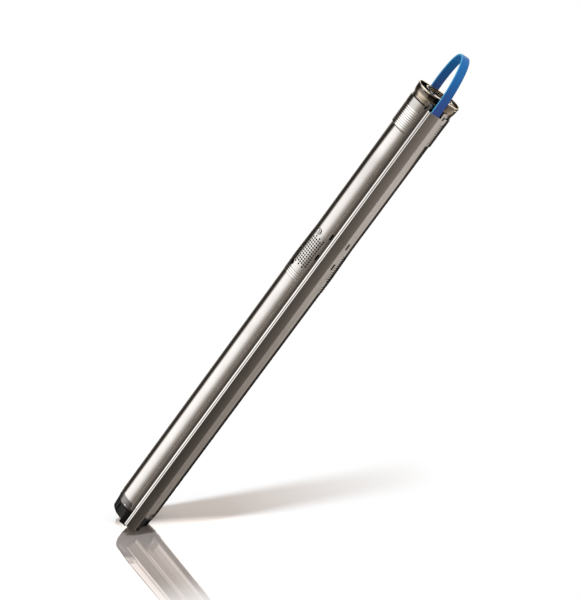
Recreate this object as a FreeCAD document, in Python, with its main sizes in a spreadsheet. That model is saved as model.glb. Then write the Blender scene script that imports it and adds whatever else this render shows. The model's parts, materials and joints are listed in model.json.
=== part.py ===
import FreeCAD, Part
import math
import os
import Sketcher

# Borehole submersible pump for 3 inch wells.
# The frame: +Z runs up the pump's axis, the cable guard faces -Y, and the origin is the centre
# of the discharge mouth. Angles are counted from the guard's middle, towards +X.

DOC = FreeCAD.newDocument("borehole_pump")

# Driving dimensions, in millimetres, degrees and plain counts
SIZES = {
    # discharge head
    "rim_radius": 35.5,
    "rim_band": 2.6,
    "rim_step": 0.6,
    "neck_radius": 33.0,
    "neck_depth": 16.5,
    "bulge_radius": 34.9,
    "waist_swell": 0.5,
    "head_rise": 20.6,
    "head_inside": 48.4,
    "thread_radius": 19.5,
    "thread_length": 20.0,
    "throat_radius": 17.0,
    "throat_length": 4.0,
    "valve_chamber_radius": 27.0,
    "valve_chamber_top": 31.0,
    "valve_chamber_length": 27.0,
    "seat_pocket_radius": 29.0,
    "recess_reach": 27.7,
    "recess_depth": 9.0,
    "ledge_reach": 31.6,
    "ledge_height": 2.6,
    "under_ledge_reach": 29.6,
    "under_ledge_width": 30.0,
    "lip_wall": 1.4,
    "lobe_depth": 5.0,
    "lobe_width": 42.0,
    "collar_wall": 3.2,
    "eyelet_radius": 3.0,
    "eyelet_reach": 28.2,
    "eyelet_floor": 3.0,
    "window_height": 6.0,
    "side_slot_angle": 56.0,
    "side_slot_width": 13.6,
    "side_slot_height": 1.6,
    "side_slot_depth": 3.6,
    "side_slot_reach": 4.5,
    "o_ring_section": 2.4,
    "o_ring_depth": 26.0,
    # check valve
    "seat_height": 8.0,
    "seat_bore_radius": 16.0,
    "seat_cone_height": 4.0,
    "seat_cone_flare": 4.0,
    "poppet_rim": 3.7,
    "poppet_web": 3.0,
    "stem_radius": 3.0,
    "stem_rise": 21.0,
    "guide_ring_wall": 4.0,
    "guide_height": 4.0,
    "guide_hub_radius": 6.0,
    "guide_hub_drop": 10.0,
    "guide_arm_width": 4.0,
    "guide_arm_count": 3,
    "spring_radius": 9.0,
    "spring_wire": 1.5,
    "spring_turns": 3.5,
    # pump sleeve with its strainer
    "sleeve_radius": 33.0,
    "sleeve_wall": 1.1,
    "band_swell": 1.56,
    "band_length": 48.6,
    "band_slope": 2.0,
    "sleeve_length": 329.1,
    "cone_start": 245.4,
    "cone_length": 56.0,
    "cone_swell": 1.5,
    "strainer_drop": 2.1,
    "strainer_columns": 52,
    "strainer_blank": 9,
    "strainer_side_columns": 11,
    "strainer_rows": 12,
    "strainer_pitch": 4.217,
    "strainer_hole": 1.15,
    "priming_drop": 11.5,
    "priming_angle": -64.0,
    "priming_radius": 4.0,
    "priming_shank": 3.0,
    "priming_length": 9.0,
    "priming_proud": 1.0,
    "driver_slot_width": 1.2,
    "driver_slot_length": 5.2,
    "vent_rise": 17.9,
    "vent_angle": -77.0,
    "vent_radius": 4.0,
    # hydraulics
    "top_chamber_height": 16.7,
    "top_chamber_wall": 4.0,
    "stage_count": 5,
    "stage_pitch": 34.0,
    "chamber_wall": 2.0,
    "divider_height": 3.0,
    "eye_radius": 14.3,
    "plate_height": 2.0,
    "plate_level": 16.0,
    "plate_radius": 26.5,
    "plate_hole": 9.0,
    "guide_vanes": 6,
    "guide_vane_wall": 1.8,
    "guide_sweep": -38.0,
    "impeller_radius": 26.8,
    "impeller_level": 2.0,
    "shroud_wall": 1.5,
    "vane_height": 8.5,
    "eye_wall": 1.4,
    "eye_drop": 4.4,
    "hub_radius": 8.0,
    "hub_rise": 1.4,
    "vane_count": 6,
    "vane_wall": 1.6,
    "vane_sweep": 62.0,
    "sweep_middle": 0.42,
    "shaft_radius": 5.0,
    "bearing_wall": 3.0,
    "bearing_length": 10.0,
    "bearing_drop": 5.0,
    "arm_width": 4.0,
    "arm_count": 4,
    "hub_wall": 3.0,
    "shaft_end": 1.0,
    "shaft_shoulder": 2.0,
    "nut_radius": 7.5,
    "nut_height": 5.0,
    # suction interconnector and coupling
    "inlet_flange": 17.0,
    "pillar_width": 9.0,
    "pillar_depth": 6.0,
    "pillar_count": 4,
    "pillar_inset": 1.0,
    "foot_ring_height": 12.6,
    "foot_ring_bore": 22.0,
    "coupling_radius": 9.0,
    "coupling_length": 34.0,
    "coupling_drop": 40.0,
    # motor
    "motor_radius": 34.0,
    "motor_wall": 1.5,
    "motor_length": 460.3,
    "head_plate": 24.0,
    "spigot_rise": 11.8,
    "seal_radius": 16.0,
    "seal_height": 6.0,
    "journal_radius": 6.0,
    "bush_wall": 6.0,
    "bush_length": 16.0,
    "bush_cover": 3.8,
    "bush_floor": 2.0,
    "journal_room": 2.0,
    "seal_ledge": 1.8,
    "can_radius": 19.0,
    "can_wall": 0.7,
    "can_length": 184.0,
    "can_overlap": 2.0,
    "stator_drop": 50.0,
    "stator_length": 120.0,
    "winding_height": 20.0,
    "winding_outer": 30.0,
    "winding_inner": 21.0,
    "air_gap": 0.8,
    "magnet_wall": 2.4,
    "magnet_count": 4,
    "magnet_spread": 84.0,
    "carrier_height": 24.0,
    "runner_radius": 20.0,
    "runner_height": 6.0,
    "runner_gap": 0.9,
    "pad_count": 6,
    "pad_spread": 46.0,
    "pad_height": 4.7,
    "pad_inner": 9.0,
    "thrust_plate_height": 6.0,
    "thrust_plate_bore": 6.0,
    "membrane_wall": 2.0,
    "membrane_drop": 8.0,
    "membrane_rim": 4.0,
    "partition_height": 16.0,
    "partition_well": 22.0,
    "partition_floor": 4.0,
    # electronics
    "shell_wall": 1.0,
    "board_width": 54.0,
    "board_wall": 1.6,
    "board_length": 156.0,
    "board_reach": 3.2,
    "sink_length": 164.0,
    "component_start": 6.0,
    "capacitor_radius": 9.0,
    "capacitor_length": 32.0,
    "capacitor_pitch": 38.0,
    "capacitor_count": 3,
    "choke_radius": 10.0,
    "choke_bore": 5.0,
    "choke_height": 11.0,
    # lower end
    "ring_height": 12.7,
    "ring_taper": 0.8,
    "ring_spigot": 12.3,
    "ring_bore": 12.0,
    "cap_height": 23.5,
    "cap_inset": 0.2,
    "cap_taper": 1.6,
    "cap_round": 3.0,
    "cap_hollow_radius": 23.0,
    "cap_hollow_depth": 9.0,
    "channel_angle": 52.5,
    "channel_width": 19.0,
    "channel_depth": 3.6,
    "channel_roof": 3.5,
    "foot_angle": 24.0,
    "foot_width": 13.0,
    "foot_thickness": 7.0,
    "foot_inset": 0.6,
    "foot_drop": 3.9,
    "foot_root": 4.0,
    "screw_radius": 1.7,
    "screw_length": 7.0,
    "screw_proud": 0.4,
    "screw_angle": 48.0,
    "screw_rise": 1.9,
    # cable guard, made of bent sheet
    "guard_reach": 39.6,
    "guard_wall": 0.8,
    "guard_side_gap": 1.8,
    "guard_lean": 10.0,
    "wing_angle": 31.5,
    "wing_gap": 0.35,
    "guard_start": 21.6,
    "guard_wings_end": 818.5,
    "guard_channel_end": 845.0,
    "wing_step": 8.0,
    "wing_step_angle": 28.0,
    "bend_corner": 2.5,
    "bend_root": 5.0,
    "tab_rise": 8.6,
    "tab_inset": 1.5,
    "tab_slot_angle": 26.8,
    "tab_slot_width": 3.0,
    "tab_slot_height": 7.0,
    "wing_slot_angle": 24.5,
    "wing_slot_width": 3.0,
    "wing_slot_height": 11.2,
    "upper_slot_depth": 255.1,
    "lower_slot_depth": 293.5,
    "lug_height": 6.0,
    # flat drop cable and its plug
    "cable_width": 14.0,
    "cable_thickness": 4.0,
    "plug_width": 14.8,
    "plug_thickness": 4.3,
    "plug_length": 40.0,
    "plug_heel": 7.0,
    "plug_pin_width": 10.0,
    "plug_pin_depth": 8.0,
    "plug_pin_height": 10.0,
    "plug_pin_drop": 3.5,
    "plug_seal_wall": 1.4,
    "plug_seal_width": 1.8,
    "plug_seal_reach": 2.8,
    # clearances
    "fit_gap": 0.1,
    "run_gap": 0.05,
    "free_gap": 0.3,
    "seam_gap": 0.3,
}

# The cable's route over the head, in the plane X = 0: distance along Y and height
LOOP_ROUTE = [
    (-36.7, -22.0),
    (-36.6, -6.0),
    (-34.9, 10.5),
    (-30.0, 27.0),
    (-23.0, 42.5),
    (-12.6, 57.0),
    (2.0, 65.2),
    (18.6, 61.8),
    (29.2, 49.8),
    (34.2, 34.0),
    (36.7, 17.0),
    (36.3, 1.0),
    (34.3, -10.0),
    (34.0, -20.3),
]


class Size:
    """A length known both as a number and as the sheet's expression for it."""

    def __init__(self, value, text):
        self.value = float(value)
        self.text = text

    def __add__(self, other):
        other = sized(other)
        return Size(self.value + other.value, "(%s + %s)" % (self.text, other.text))

    def __radd__(self, other):
        return sized(other) + self

    def __sub__(self, other):
        other = sized(other)
        return Size(self.value - other.value, "(%s - %s)" % (self.text, other.text))

    def __rsub__(self, other):
        return sized(other) - self

    def __mul__(self, other):
        other = sized(other)
        return Size(self.value * other.value, "(%s * %s)" % (self.text, other.text))

    def __rmul__(self, other):
        return sized(other) * self

    def __truediv__(self, other):
        other = sized(other)
        return Size(self.value / other.value, "(%s / %s)" % (self.text, other.text))

    def __neg__(self):
        return Size(-self.value, "(-%s)" % self.text)


def sized(thing):
    """The same thing as a Size, where it may be a plain number."""
    if isinstance(thing, Size):
        return thing
    return Size(thing, repr(float(thing)))


def make_sheet():
    """Writes the driving dimensions to the sheet and returns them as named Sizes."""
    sheet = DOC.addObject("Spreadsheet::Sheet", "Sizes")
    for row, (name, value) in enumerate(SIZES.items(), 1):
        sheet.set("A%d" % row, name)
        sheet.set("B%d" % row, str(value))
        sheet.setAlias("B%d" % row, name)
    DOC.recompute()

    class Named:
        pass

    named = Named()
    for name, value in SIZES.items():
        setattr(named, name, Size(value, "Sizes." + name))
    return named


S = make_sheet()


# How far a cutting tool reaches past the face it cuts, how deep a rib runs into its wall, and
# how close two things lie that touch
OVERCUT = 5.0
ROOTED = 1.0
TOUCH = 0.01


# Helpers that make objects of the document
def body_plane(body, role):
    """The body's own origin plane with the given role."""
    for feature in body.Origin.OriginFeatures:
        if feature.Role == role:
            return feature
    raise ValueError(role)


def flat_arc(start, middle, end):
    """A counterclockwise arc through three points, and whether it runs from end to start."""
    circle = Part.Arc(start, middle, end).toShape().Curve
    centre = circle.Center
    turned_round = (middle - start).cross(end - middle).z < 0
    if turned_round:
        start, end = end, start
    first = math.atan2(start.y - centre.y, start.x - centre.x)
    last = math.atan2(end.y - centre.y, end.x - centre.x)
    if last < first:
        last += 2 * math.pi
    whole = Part.Circle(centre, FreeCAD.Vector(0, 0, 1), circle.Radius)
    return Part.ArcOfCircle(whole, first, last), turned_round


def sketch_outline(body, name, role, corners):
    """A closed outline on one of the body's planes.

    Each corner is a pair of Sizes. A third entry, itself a pair, makes the edge that leaves the
    corner an arc through that point. Every corner is bound to the sheet.
    """
    sketch = body.newObject("Sketcher::SketchObject", name)
    sketch.AttachmentSupport = [(body_plane(body, role), "")]
    sketch.MapMode = "FlatFace"
    corners = [tuple(corner) for corner in corners]
    spots = [FreeCAD.Vector(sized(c[0]).value, sized(c[1]).value, 0) for c in corners]
    count = len(corners)
    edges = []
    starts = []
    for i in range(count):
        start = spots[i]
        end = spots[(i + 1) % count]
        if len(corners[i]) == 3:
            through = corners[i][2]
            middle = FreeCAD.Vector(sized(through[0]).value, sized(through[1]).value, 0)
            arc, turned_round = flat_arc(start, middle, end)
            edges.append(arc)
            starts.append(2 if turned_round else 1)
        else:
            edges.append(Part.LineSegment(start, end))
            starts.append(1)
    sketch.addGeometry(edges, False)
    for i in range(count):
        following = (i + 1) % count
        rule = ("Coincident", i, 3 - starts[i], following, starts[following])
        sketch.addConstraint(Sketcher.Constraint(*rule))

    def pin_point(geometry, point, pair):
        """Ties a point's two distances from the origin to the sheet."""
        for kind, size in zip(("DistanceX", "DistanceY"), pair):
            size = sized(size)
            rule = Sketcher.Constraint(kind, -1, 1, geometry, point, size.value)
            number = sketch.addConstraint(rule)
            sketch.setExpression("Constraints[%d]" % number, size.text)

    for i in range(count):
        pin_point(i, starts[i], corners[i][:2])
    for i in range(count):
        if len(corners[i]) == 3:
            through = corners[i][2]
            middle = FreeCAD.Vector(sized(through[0]).value, sized(through[1]).value, 0)
            mark = sketch.addGeometry(Part.Point(middle), True)
            pin_point(mark, 1, through)
            sketch.addConstraint(Sketcher.Constraint("PointOnObject", mark, 1, i))
    return sketch


def turned(label, corners):
    """A body turned about the pump's axis. A corner is its radius and its height."""
    body = DOC.addObject("PartDesign::Body", label)
    sketch = sketch_outline(body, label + "_profile", "XZ_Plane", corners)
    turn = body.newObject("PartDesign::Revolution", label + "_turn")
    turn.Profile = sketch
    turn.ReferenceAxis = (sketch, ["V_Axis"])
    turn.Angle = 360
    sketch.Visibility = False
    return body


def ring(label, outer, inner, low, high):
    """A plain ring or tube between two heights."""
    return turned(label, [(inner, low), (outer, low), (outer, high), (inner, high)])


def rod(label, radius, low, height, across=0.0, along=0.0):
    """An upright cylinder."""
    one = DOC.addObject("Part::Cylinder", label)
    bind(one, "Radius", radius)
    bind(one, "Height", height)
    place(one, across, along, low)
    return one


def block(label, width, depth, height, across, along, low):
    """A box with its middle at (across, along) and its foot at low."""
    one = DOC.addObject("Part::Box", label)
    width, depth = sized(width), sized(depth)
    bind(one, "Length", width)
    bind(one, "Width", depth)
    bind(one, "Height", height)
    place(one, across - width / 2, along - depth / 2, low)
    return one


def bind(one, field, size):
    """Ties one property to the sheet."""
    size = sized(size)
    setattr(one, field, size.value)
    one.setExpression(field, size.text)


def place(one, across, along, up, turn=None):
    """Ties an object's place to the sheet, after its rotation is set."""
    spot = [sized(across), sized(along), sized(up)]
    rotation = turn if turn is not None else FreeCAD.Rotation()
    one.Placement = FreeCAD.Placement(FreeCAD.Vector(*[size.value for size in spot]), rotation)
    for axis, size in zip("xyz", spot):
        one.setExpression("Placement.Base." + axis, size.text)


def sine(degrees):
    """The sine of an angle in degrees, as a Size."""
    degrees = sized(degrees)
    return Size(math.sin(math.radians(degrees.value)), "sin(%s)" % degrees.text)


def cosine(degrees):
    """The cosine of an angle in degrees, as a Size."""
    degrees = sized(degrees)
    return Size(math.cos(math.radians(degrees.value)), "cos(%s)" % degrees.text)


def around(angle, reach):
    """The X and Y of a point at an angle from the guard's middle and a distance from the axis."""
    return reach * sine(angle), -(reach * cosine(angle))


def even_angles(count):
    """The angles of evenly spaced pieces, none of them behind the guard's middle."""
    step = 360.0 / count.value
    return [step * (i + 0.5) for i in range(int(count.value))]


def radial_rod(label, radius, angle, start, length, height):
    """A cylinder that points away from the axis."""
    one = DOC.addObject("Part::Cylinder", label)
    bind(one, "Radius", radius)
    bind(one, "Height", length)
    across, along = around(angle, sized(start))
    outward = FreeCAD.Vector(across.value, along.value, 0)
    place(one, across, along, height, FreeCAD.Rotation(FreeCAD.Vector(0, 0, 1), outward))
    return one


def radial_block(label, width, start, reach, low, height, angle):
    """A box that reaches outwards from start to reach, at an angle from the guard's middle."""
    one = DOC.addObject("Part::Box", label)
    angle = sized(angle)
    bind(one, "Length", width)
    bind(one, "Width", sized(reach) - start)
    bind(one, "Height", height)
    side_x, side_y = cosine(angle) * width / 2, sine(angle) * width / 2
    out_x, out_y = around(angle, sized(reach))
    turn = FreeCAD.Rotation(FreeCAD.Vector(0, 0, 1), angle.value)
    place(one, out_x - side_x, out_y - side_y, low, turn)
    return one


def formed(label, shape):
    """An object whose shape is worked out in code."""
    one = DOC.addObject("Part::Feature", label)
    one.Shape = shape
    return one


def copied(label, source, up):
    """One more of a repeated piece, set at its own height."""
    one = formed(label, source.Shape.copy())
    place(one, 0.0, 0.0, up)
    return one


def fused(label, pieces):
    """Pieces cast, welded or moulded as one."""
    one = DOC.addObject("Part::MultiFuse", label)
    one.Shapes = pieces
    one.Refine = True
    return one


def carved(label, base, tools):
    """The base with each tool's space taken out of it."""
    space = tools[0]
    if len(tools) > 1:
        space = DOC.addObject("Part::Compound", label + "_space")
        space.Links = tools
    one = DOC.addObject("Part::Cut", label)
    one.Base = base
    one.Tool = space
    return one


def shared(label, first, second):
    """What two forms have in common."""
    one = DOC.addObject("Part::Common", label)
    one.Base = first
    one.Tool = second
    return one


# Heights of the main pieces, from the rim downwards
head_low = -(S.head_rise + S.head_inside)
sleeve_top = -S.head_rise
sleeve_low = sleeve_top - S.sleeve_length
sleeve_bore = S.sleeve_radius - S.sleeve_wall
band_radius = S.sleeve_radius + S.band_swell
lower_radius = S.sleeve_radius + S.cone_swell
stack_radius = sleeve_bore - S.fit_gap
top_chamber_top = head_low - S.seam_gap
stack_top = top_chamber_top - S.top_chamber_height
stack_low = stack_top - S.stage_count * S.stage_pitch
flange_low = stack_low - S.inlet_flange
priming_level = stack_low - S.priming_drop
motor_top = sleeve_low - S.seam_gap
motor_low = motor_top - S.motor_length
motor_bore = S.motor_radius - S.motor_wall
motor_fit = motor_bore - S.fit_gap
ring_low = motor_low - S.ring_height
cap_low = ring_low - S.cap_height


def discharge_head():
    """The cast head: a threaded mouth, two hollow lobes with wire eyelets, and cable recesses."""
    spigot = band_radius - S.sleeve_wall - S.fit_gap
    chamber_low = -(S.valve_chamber_top + S.valve_chamber_length)
    groove_top = -S.o_ring_depth
    groove_low = groove_top - S.o_ring_section - S.fit_gap
    groove_floor = spigot - S.o_ring_section + S.fit_gap
    shoulder = sleeve_top - S.seam_gap
    waist_radius = (S.rim_radius + S.neck_radius) / 2 + S.waist_swell
    waist = (waist_radius, -(S.neck_depth + S.rim_band) / 2)
    blank = turned("head_blank", [
        (S.thread_radius, 0.0),
        (S.rim_radius, 0.0),
        (S.rim_radius, -S.rim_band),
        (S.bulge_radius, -(S.rim_band + S.rim_step), waist),
        (S.neck_radius, -S.neck_depth),
        (S.neck_radius, shoulder),
        (spigot, shoulder),
        (spigot, groove_top),
        (groove_floor, groove_top),
        (groove_floor, groove_low),
        (spigot, groove_low),
        (spigot, head_low),
        (S.seat_pocket_radius, head_low),
        (S.seat_pocket_radius, chamber_low),
        (S.valve_chamber_radius, chamber_low),
        (S.valve_chamber_radius, -S.valve_chamber_top),
        (S.throat_radius, -(S.thread_length + S.throat_length)),
        (S.throat_radius, -S.thread_length),
        (S.thread_radius, -S.thread_length),
    ])
    far = S.rim_radius + OVERCUT
    tools = []
    levels = [
        ("recess", S.recess_reach, -S.recess_depth, S.recess_depth + OVERCUT, far * 2),
        ("ledge", S.ledge_reach, -(S.recess_depth + S.ledge_height), S.ledge_height, far * 2),
        ("under", S.under_ledge_reach, sleeve_top,
         S.head_rise - S.recess_depth - S.ledge_height, S.under_ledge_width),
    ]
    for side, sign in (("front", -1), ("back", 1)):
        for name, reach, low, height, width in levels:
            depth = far - reach
            middle = sign * (reach + depth / 2)
            tools.append(block("head_%s_%s" % (side, name), width, depth, height, 0.0, middle, low))
    floor = -S.lobe_depth
    lobe_ring = ring("lobe_ring", S.rim_radius - S.lip_wall, S.thread_radius + S.collar_wall,
                     floor, OVERCUT)
    lobe_limit = block("lobe_limit", far * 2, S.lobe_width, S.lobe_depth + OVERCUT, 0.0, 0.0, floor)
    tools.append(shared("lobe_hollows", lobe_ring, lobe_limit))
    window_top = floor - S.eyelet_floor
    window_half = S.eyelet_radius + S.free_gap
    for side, sign in (("left", -1), ("right", 1)):
        tools.append(rod("eyelet_" + side, S.eyelet_radius, window_top - ROOTED,
                         S.eyelet_floor + ROOTED + OVERCUT, sign * S.eyelet_reach, 0.0))
        tools.append(radial_block("wire_window_" + side, window_half * 2,
                                  S.eyelet_reach - window_half, far,
                                  window_top - S.window_height, S.window_height, sign * 90))
        tools.append(radial_block("side_slot_" + side, S.side_slot_width,
                                  S.rim_radius - S.side_slot_reach, far,
                                  -(S.side_slot_depth + S.side_slot_height / 2),
                                  S.side_slot_height, sign * S.side_slot_angle))
    carved("discharge_head", blank, tools)
    ring("head_o_ring", spigot, groove_floor + S.fit_gap / 2, groove_low + S.fit_gap / 2,
         groove_top - S.fit_gap / 2)


def check_valve():
    """The spring-loaded poppet, its seat, and the spider that guides its stem."""
    chamber_low = -(S.valve_chamber_top + S.valve_chamber_length)
    seat_low = chamber_low - S.seat_height
    seat_wide = S.seat_bore_radius + S.seat_cone_flare
    turned("valve_seat", [
        (S.seat_bore_radius, seat_low),
        (S.seat_pocket_radius - S.fit_gap, seat_low),
        (S.seat_pocket_radius - S.fit_gap, chamber_low),
        (seat_wide, chamber_low),
        (S.seat_bore_radius, chamber_low - S.seat_cone_height),
    ])
    lip = chamber_low + S.free_gap
    disc_top = lip + S.poppet_rim
    cone_low = lip - S.seat_cone_height
    stem_top = disc_top + S.stem_rise
    turned("valve_poppet", [
        (0.0, cone_low),
        (S.seat_bore_radius - S.free_gap, cone_low),
        (seat_wide - S.free_gap, lip),
        (seat_wide - S.free_gap, disc_top - S.poppet_web / 2),
        (seat_wide - S.free_gap - S.poppet_web, disc_top),
        (S.stem_radius, disc_top),
        (S.stem_radius, stem_top),
        (0.0, stem_top),
    ])
    guide_top = -S.valve_chamber_top
    guide_low = guide_top - S.guide_height
    outer = S.valve_chamber_radius - S.fit_gap
    rim = ring("guide_rim", outer, outer - S.guide_ring_wall, guide_low, guide_top)
    hub = ring("guide_hub", S.guide_hub_radius, S.stem_radius + S.run_gap,
               guide_top - S.guide_hub_drop, guide_top)
    arms = []
    for i, angle in enumerate(even_angles(S.guide_arm_count)):
        arms.append(radial_block("guide_arm_%d" % (i + 1), S.guide_arm_width,
                                 S.guide_hub_radius - ROOTED, outer - S.guide_ring_wall / 2,
                                 guide_low, S.guide_height, angle))
    fused("valve_guide", [rim, hub] + arms)
    formed("valve_spring", coil_shape(S.spring_radius.value, S.spring_wire.value,
                                      S.spring_turns.value,
                                      disc_top.value + S.free_gap.value,
                                      guide_low.value - S.free_gap.value))


def coil_shape(radius, wire, turns, low, high):
    """A coil of square wire, followed in short straight runs round the axis."""
    steps_per_turn = 12
    steps = int(round(turns * steps_per_turn))
    bottom = low + wire / 2
    rise = high - low - wire
    points = []
    for i in range(steps + 1):
        angle = 2 * math.pi * i / steps_per_turn
        spot = (radius * math.cos(angle), radius * math.sin(angle), bottom + rise * i / steps)
        points.append(FreeCAD.Vector(*spot))
    path = Part.makePolygon(points)
    half = wire / 2
    corners = []
    for side, up in ((-half, -half), (half, -half), (half, half), (-half, half), (-half, -half)):
        corners.append(FreeCAD.Vector(radius + side, 0, bottom + up))
    section = Part.makePolygon(corners)
    return path.makePipeShell([section], True, False, 1)


def strainer_pins():
    """Six-sided pins for the strainer's holes, in staggered columns on both sides of the guard."""
    step = 360.0 / S.strainer_columns.value
    reach = S.sleeve_radius.value - 3 * S.sleeve_wall.value
    length = 6 * S.sleeve_wall.value
    first = (S.strainer_blank.value + 1) / 2 * step
    top = (flange_low - S.strainer_drop).value
    pins = []
    for column in range(int(S.strainer_side_columns.value)):
        lower = column % 2 * S.strainer_pitch.value
        for row in range(int(S.strainer_rows.value)):
            height = top - row * S.strainer_pitch.value - lower
            points = []
            for corner in range(7):
                angle = math.pi * corner / 3
                points.append(FreeCAD.Vector(S.strainer_hole.value * math.cos(angle), -reach,
                                             S.strainer_hole.value * math.sin(angle)))
            face = Part.Face(Part.makePolygon(points))
            pin = face.extrude(FreeCAD.Vector(0, -length, 0))
            for sign in (-1, 1):
                turned_pin = pin.copy()
                turned_pin.rotate(FreeCAD.Vector(0, 0, 0), FreeCAD.Vector(0, 0, 1),
                                  sign * (first + column * step))
                turned_pin.translate(FreeCAD.Vector(0, 0, height))
                pins.append(turned_pin)
    return Part.makeCompound(pins)


def pump_sleeve():
    """The drawn sleeve: swollen threaded bands, a slow cone, and the perforated strainer."""
    band_low = sleeve_top - S.band_length
    slope_low = band_low - S.band_slope
    cone_top = sleeve_top - S.cone_start
    cone_low = cone_top - S.cone_length
    wall = S.sleeve_wall
    blank = turned("sleeve_blank", [
        (band_radius, sleeve_top),
        (band_radius, band_low),
        (S.sleeve_radius, slope_low),
        (S.sleeve_radius, cone_top),
        (lower_radius, cone_low),
        (lower_radius, sleeve_low),
        (lower_radius - wall, sleeve_low),
        (lower_radius - wall, cone_low),
        (S.sleeve_radius - wall, cone_top),
        (S.sleeve_radius - wall, slope_low),
        (band_radius - wall, band_low),
        (band_radius - wall, sleeve_top),
    ])
    reach = S.sleeve_radius - wall * 3
    length = wall * 6
    lugs = []
    for side, sign in (("left", -1), ("right", 1)):
        width = S.wing_slot_width - S.free_gap * 2
        low = -(S.lower_slot_depth + S.wing_slot_height / 2 + S.lug_height / 2)
        lugs.append(radial_block("guard_lug_" + side, width, S.sleeve_radius - wall / 2,
                                 lower_radius + S.wing_gap + S.guard_wall / 2, low, S.lug_height,
                                 sign * S.wing_slot_angle))
    whole = fused("sleeve_with_lugs", [blank] + lugs)
    tools = [
        formed("strainer_holes", strainer_pins()),
        radial_rod("priming_hole", S.priming_radius + S.fit_gap, S.priming_angle, reach, length,
                   priming_level),
        radial_rod("vent_hole", S.vent_radius, S.vent_angle, reach, length,
                   sleeve_low + S.vent_rise),
    ]
    carved("pump_sleeve", whole, tools)


def blade_shape(inner, outer, sweep, wall, low, height, count):
    """Swept blades: each side is an arc through three points, at the root, the middle and the tip."""
    blades = []
    stations = [(inner, 0.0), ((inner + outer) / 2, S.sweep_middle.value), (outer, 1.0)]
    for number in range(count):
        sides = []
        for sign in (-1, 1):
            side = []
            for radius, share in stations:
                angle = math.radians(sweep * share + 360.0 * number / count)
                angle += sign * wall / 2 / radius
                side.append(FreeCAD.Vector(radius * math.cos(angle), radius * math.sin(angle), low))
            sides.append(side)
        left, right = sides
        edges = [
            Part.Arc(*left).toShape(),
            Part.LineSegment(left[2], right[2]).toShape(),
            Part.Arc(*right).toShape(),
            Part.LineSegment(right[0], left[0]).toShape(),
        ]
        face = Part.Face(Part.Wire(Part.__sortEdges__(edges)))
        blades.append(face.extrude(FreeCAD.Vector(0, 0, height)))
    return Part.makeCompound(blades)


def stages():
    """The stages: in each, a closed impeller lifts the water into a chamber with guide vanes."""
    divider_low = S.stage_pitch - S.divider_height
    plate_top = S.plate_level + S.plate_height
    shell = turned("chamber_shell", [
        (stack_radius - S.chamber_wall, 0.0),
        (stack_radius, 0.0),
        (stack_radius, S.stage_pitch),
        (S.eye_radius, S.stage_pitch),
        (S.eye_radius, divider_low),
        (stack_radius - S.chamber_wall, divider_low),
    ])
    plate = ring("chamber_plate", S.plate_radius, S.plate_hole, S.plate_level, plate_top)
    vanes = formed("chamber_vanes", blade_shape(
        S.eye_radius.value, stack_radius.value - S.chamber_wall.value / 2, S.guide_sweep.value,
        S.guide_vane_wall.value, plate_top.value - ROOTED / 2,
        divider_low.value - plate_top.value + ROOTED,
        int(S.guide_vanes.value)))
    chamber = fused("chamber_form", [shell, plate, vanes])

    front_top = S.impeller_level + S.shroud_wall
    back_low = front_top + S.vane_height
    back_top = back_low + S.shroud_wall
    eye_outer = S.eye_radius - S.free_gap
    front = turned("impeller_front", [
        (eye_outer - S.eye_wall, S.impeller_level - S.eye_drop),
        (eye_outer, S.impeller_level - S.eye_drop),
        (eye_outer, S.impeller_level),
        (S.impeller_radius, S.impeller_level),
        (S.impeller_radius, front_top),
        (eye_outer - S.eye_wall, front_top),
    ])
    back = turned("impeller_back", [
        (S.shaft_radius + S.run_gap, S.impeller_level),
        (S.hub_radius, S.impeller_level),
        (S.hub_radius, back_low),
        (S.impeller_radius, back_low),
        (S.impeller_radius, back_top),
        (S.hub_radius, back_top),
        (S.hub_radius, back_top + S.hub_rise),
        (S.shaft_radius + S.run_gap, back_top + S.hub_rise),
    ])
    blades = formed("impeller_blades", blade_shape(
        eye_outer.value - S.eye_wall.value, S.impeller_radius.value - S.vane_wall.value,
        S.vane_sweep.value, S.vane_wall.value, front_top.value - ROOTED / 2,
        S.vane_height.value + ROOTED, int(S.vane_count.value)))
    impeller = fused("impeller_form", [front, back, blades])
    DOC.recompute()
    for number in range(int(S.stage_count.value)):
        foot = stack_low + S.stage_pitch * number
        copied("stage_chamber_%d" % (number + 1), chamber, foot)
        copied("impeller_%d" % (number + 1), impeller, foot)


def top_chamber():
    """The chamber above the last stage, with the shaft's upper bearing in a spider."""
    spigot = S.seat_pocket_radius - S.fit_gap * 2
    seat_low = -(S.valve_chamber_top + S.valve_chamber_length + S.seat_height)
    bore = S.seat_pocket_radius - S.top_chamber_wall
    shell = turned("top_chamber_shell", [
        (bore, stack_top),
        (stack_radius, stack_top),
        (stack_radius, top_chamber_top),
        (spigot, top_chamber_top),
        (spigot, seat_low),
        (bore, seat_low),
    ])
    shaft_hole = S.shaft_radius + S.run_gap
    hub_bore = shaft_hole + S.bearing_wall
    hub_outer = hub_bore + S.hub_wall
    hub_top = top_chamber_top - S.bearing_drop
    hub_low = hub_top - S.bearing_length
    hub = ring("top_hub", hub_outer, hub_bore, hub_low, hub_top)
    arms = []
    for i, angle in enumerate(even_angles(S.arm_count)):
        arms.append(radial_block("top_arm_%d" % (i + 1), S.arm_width, hub_outer - ROOTED,
                                 bore + ROOTED, hub_low, S.bearing_length, angle))
    fused("top_chamber", [shell, hub] + arms)
    ring("top_bearing", hub_bore - S.run_gap, shaft_hole, hub_low, hub_top)


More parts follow.
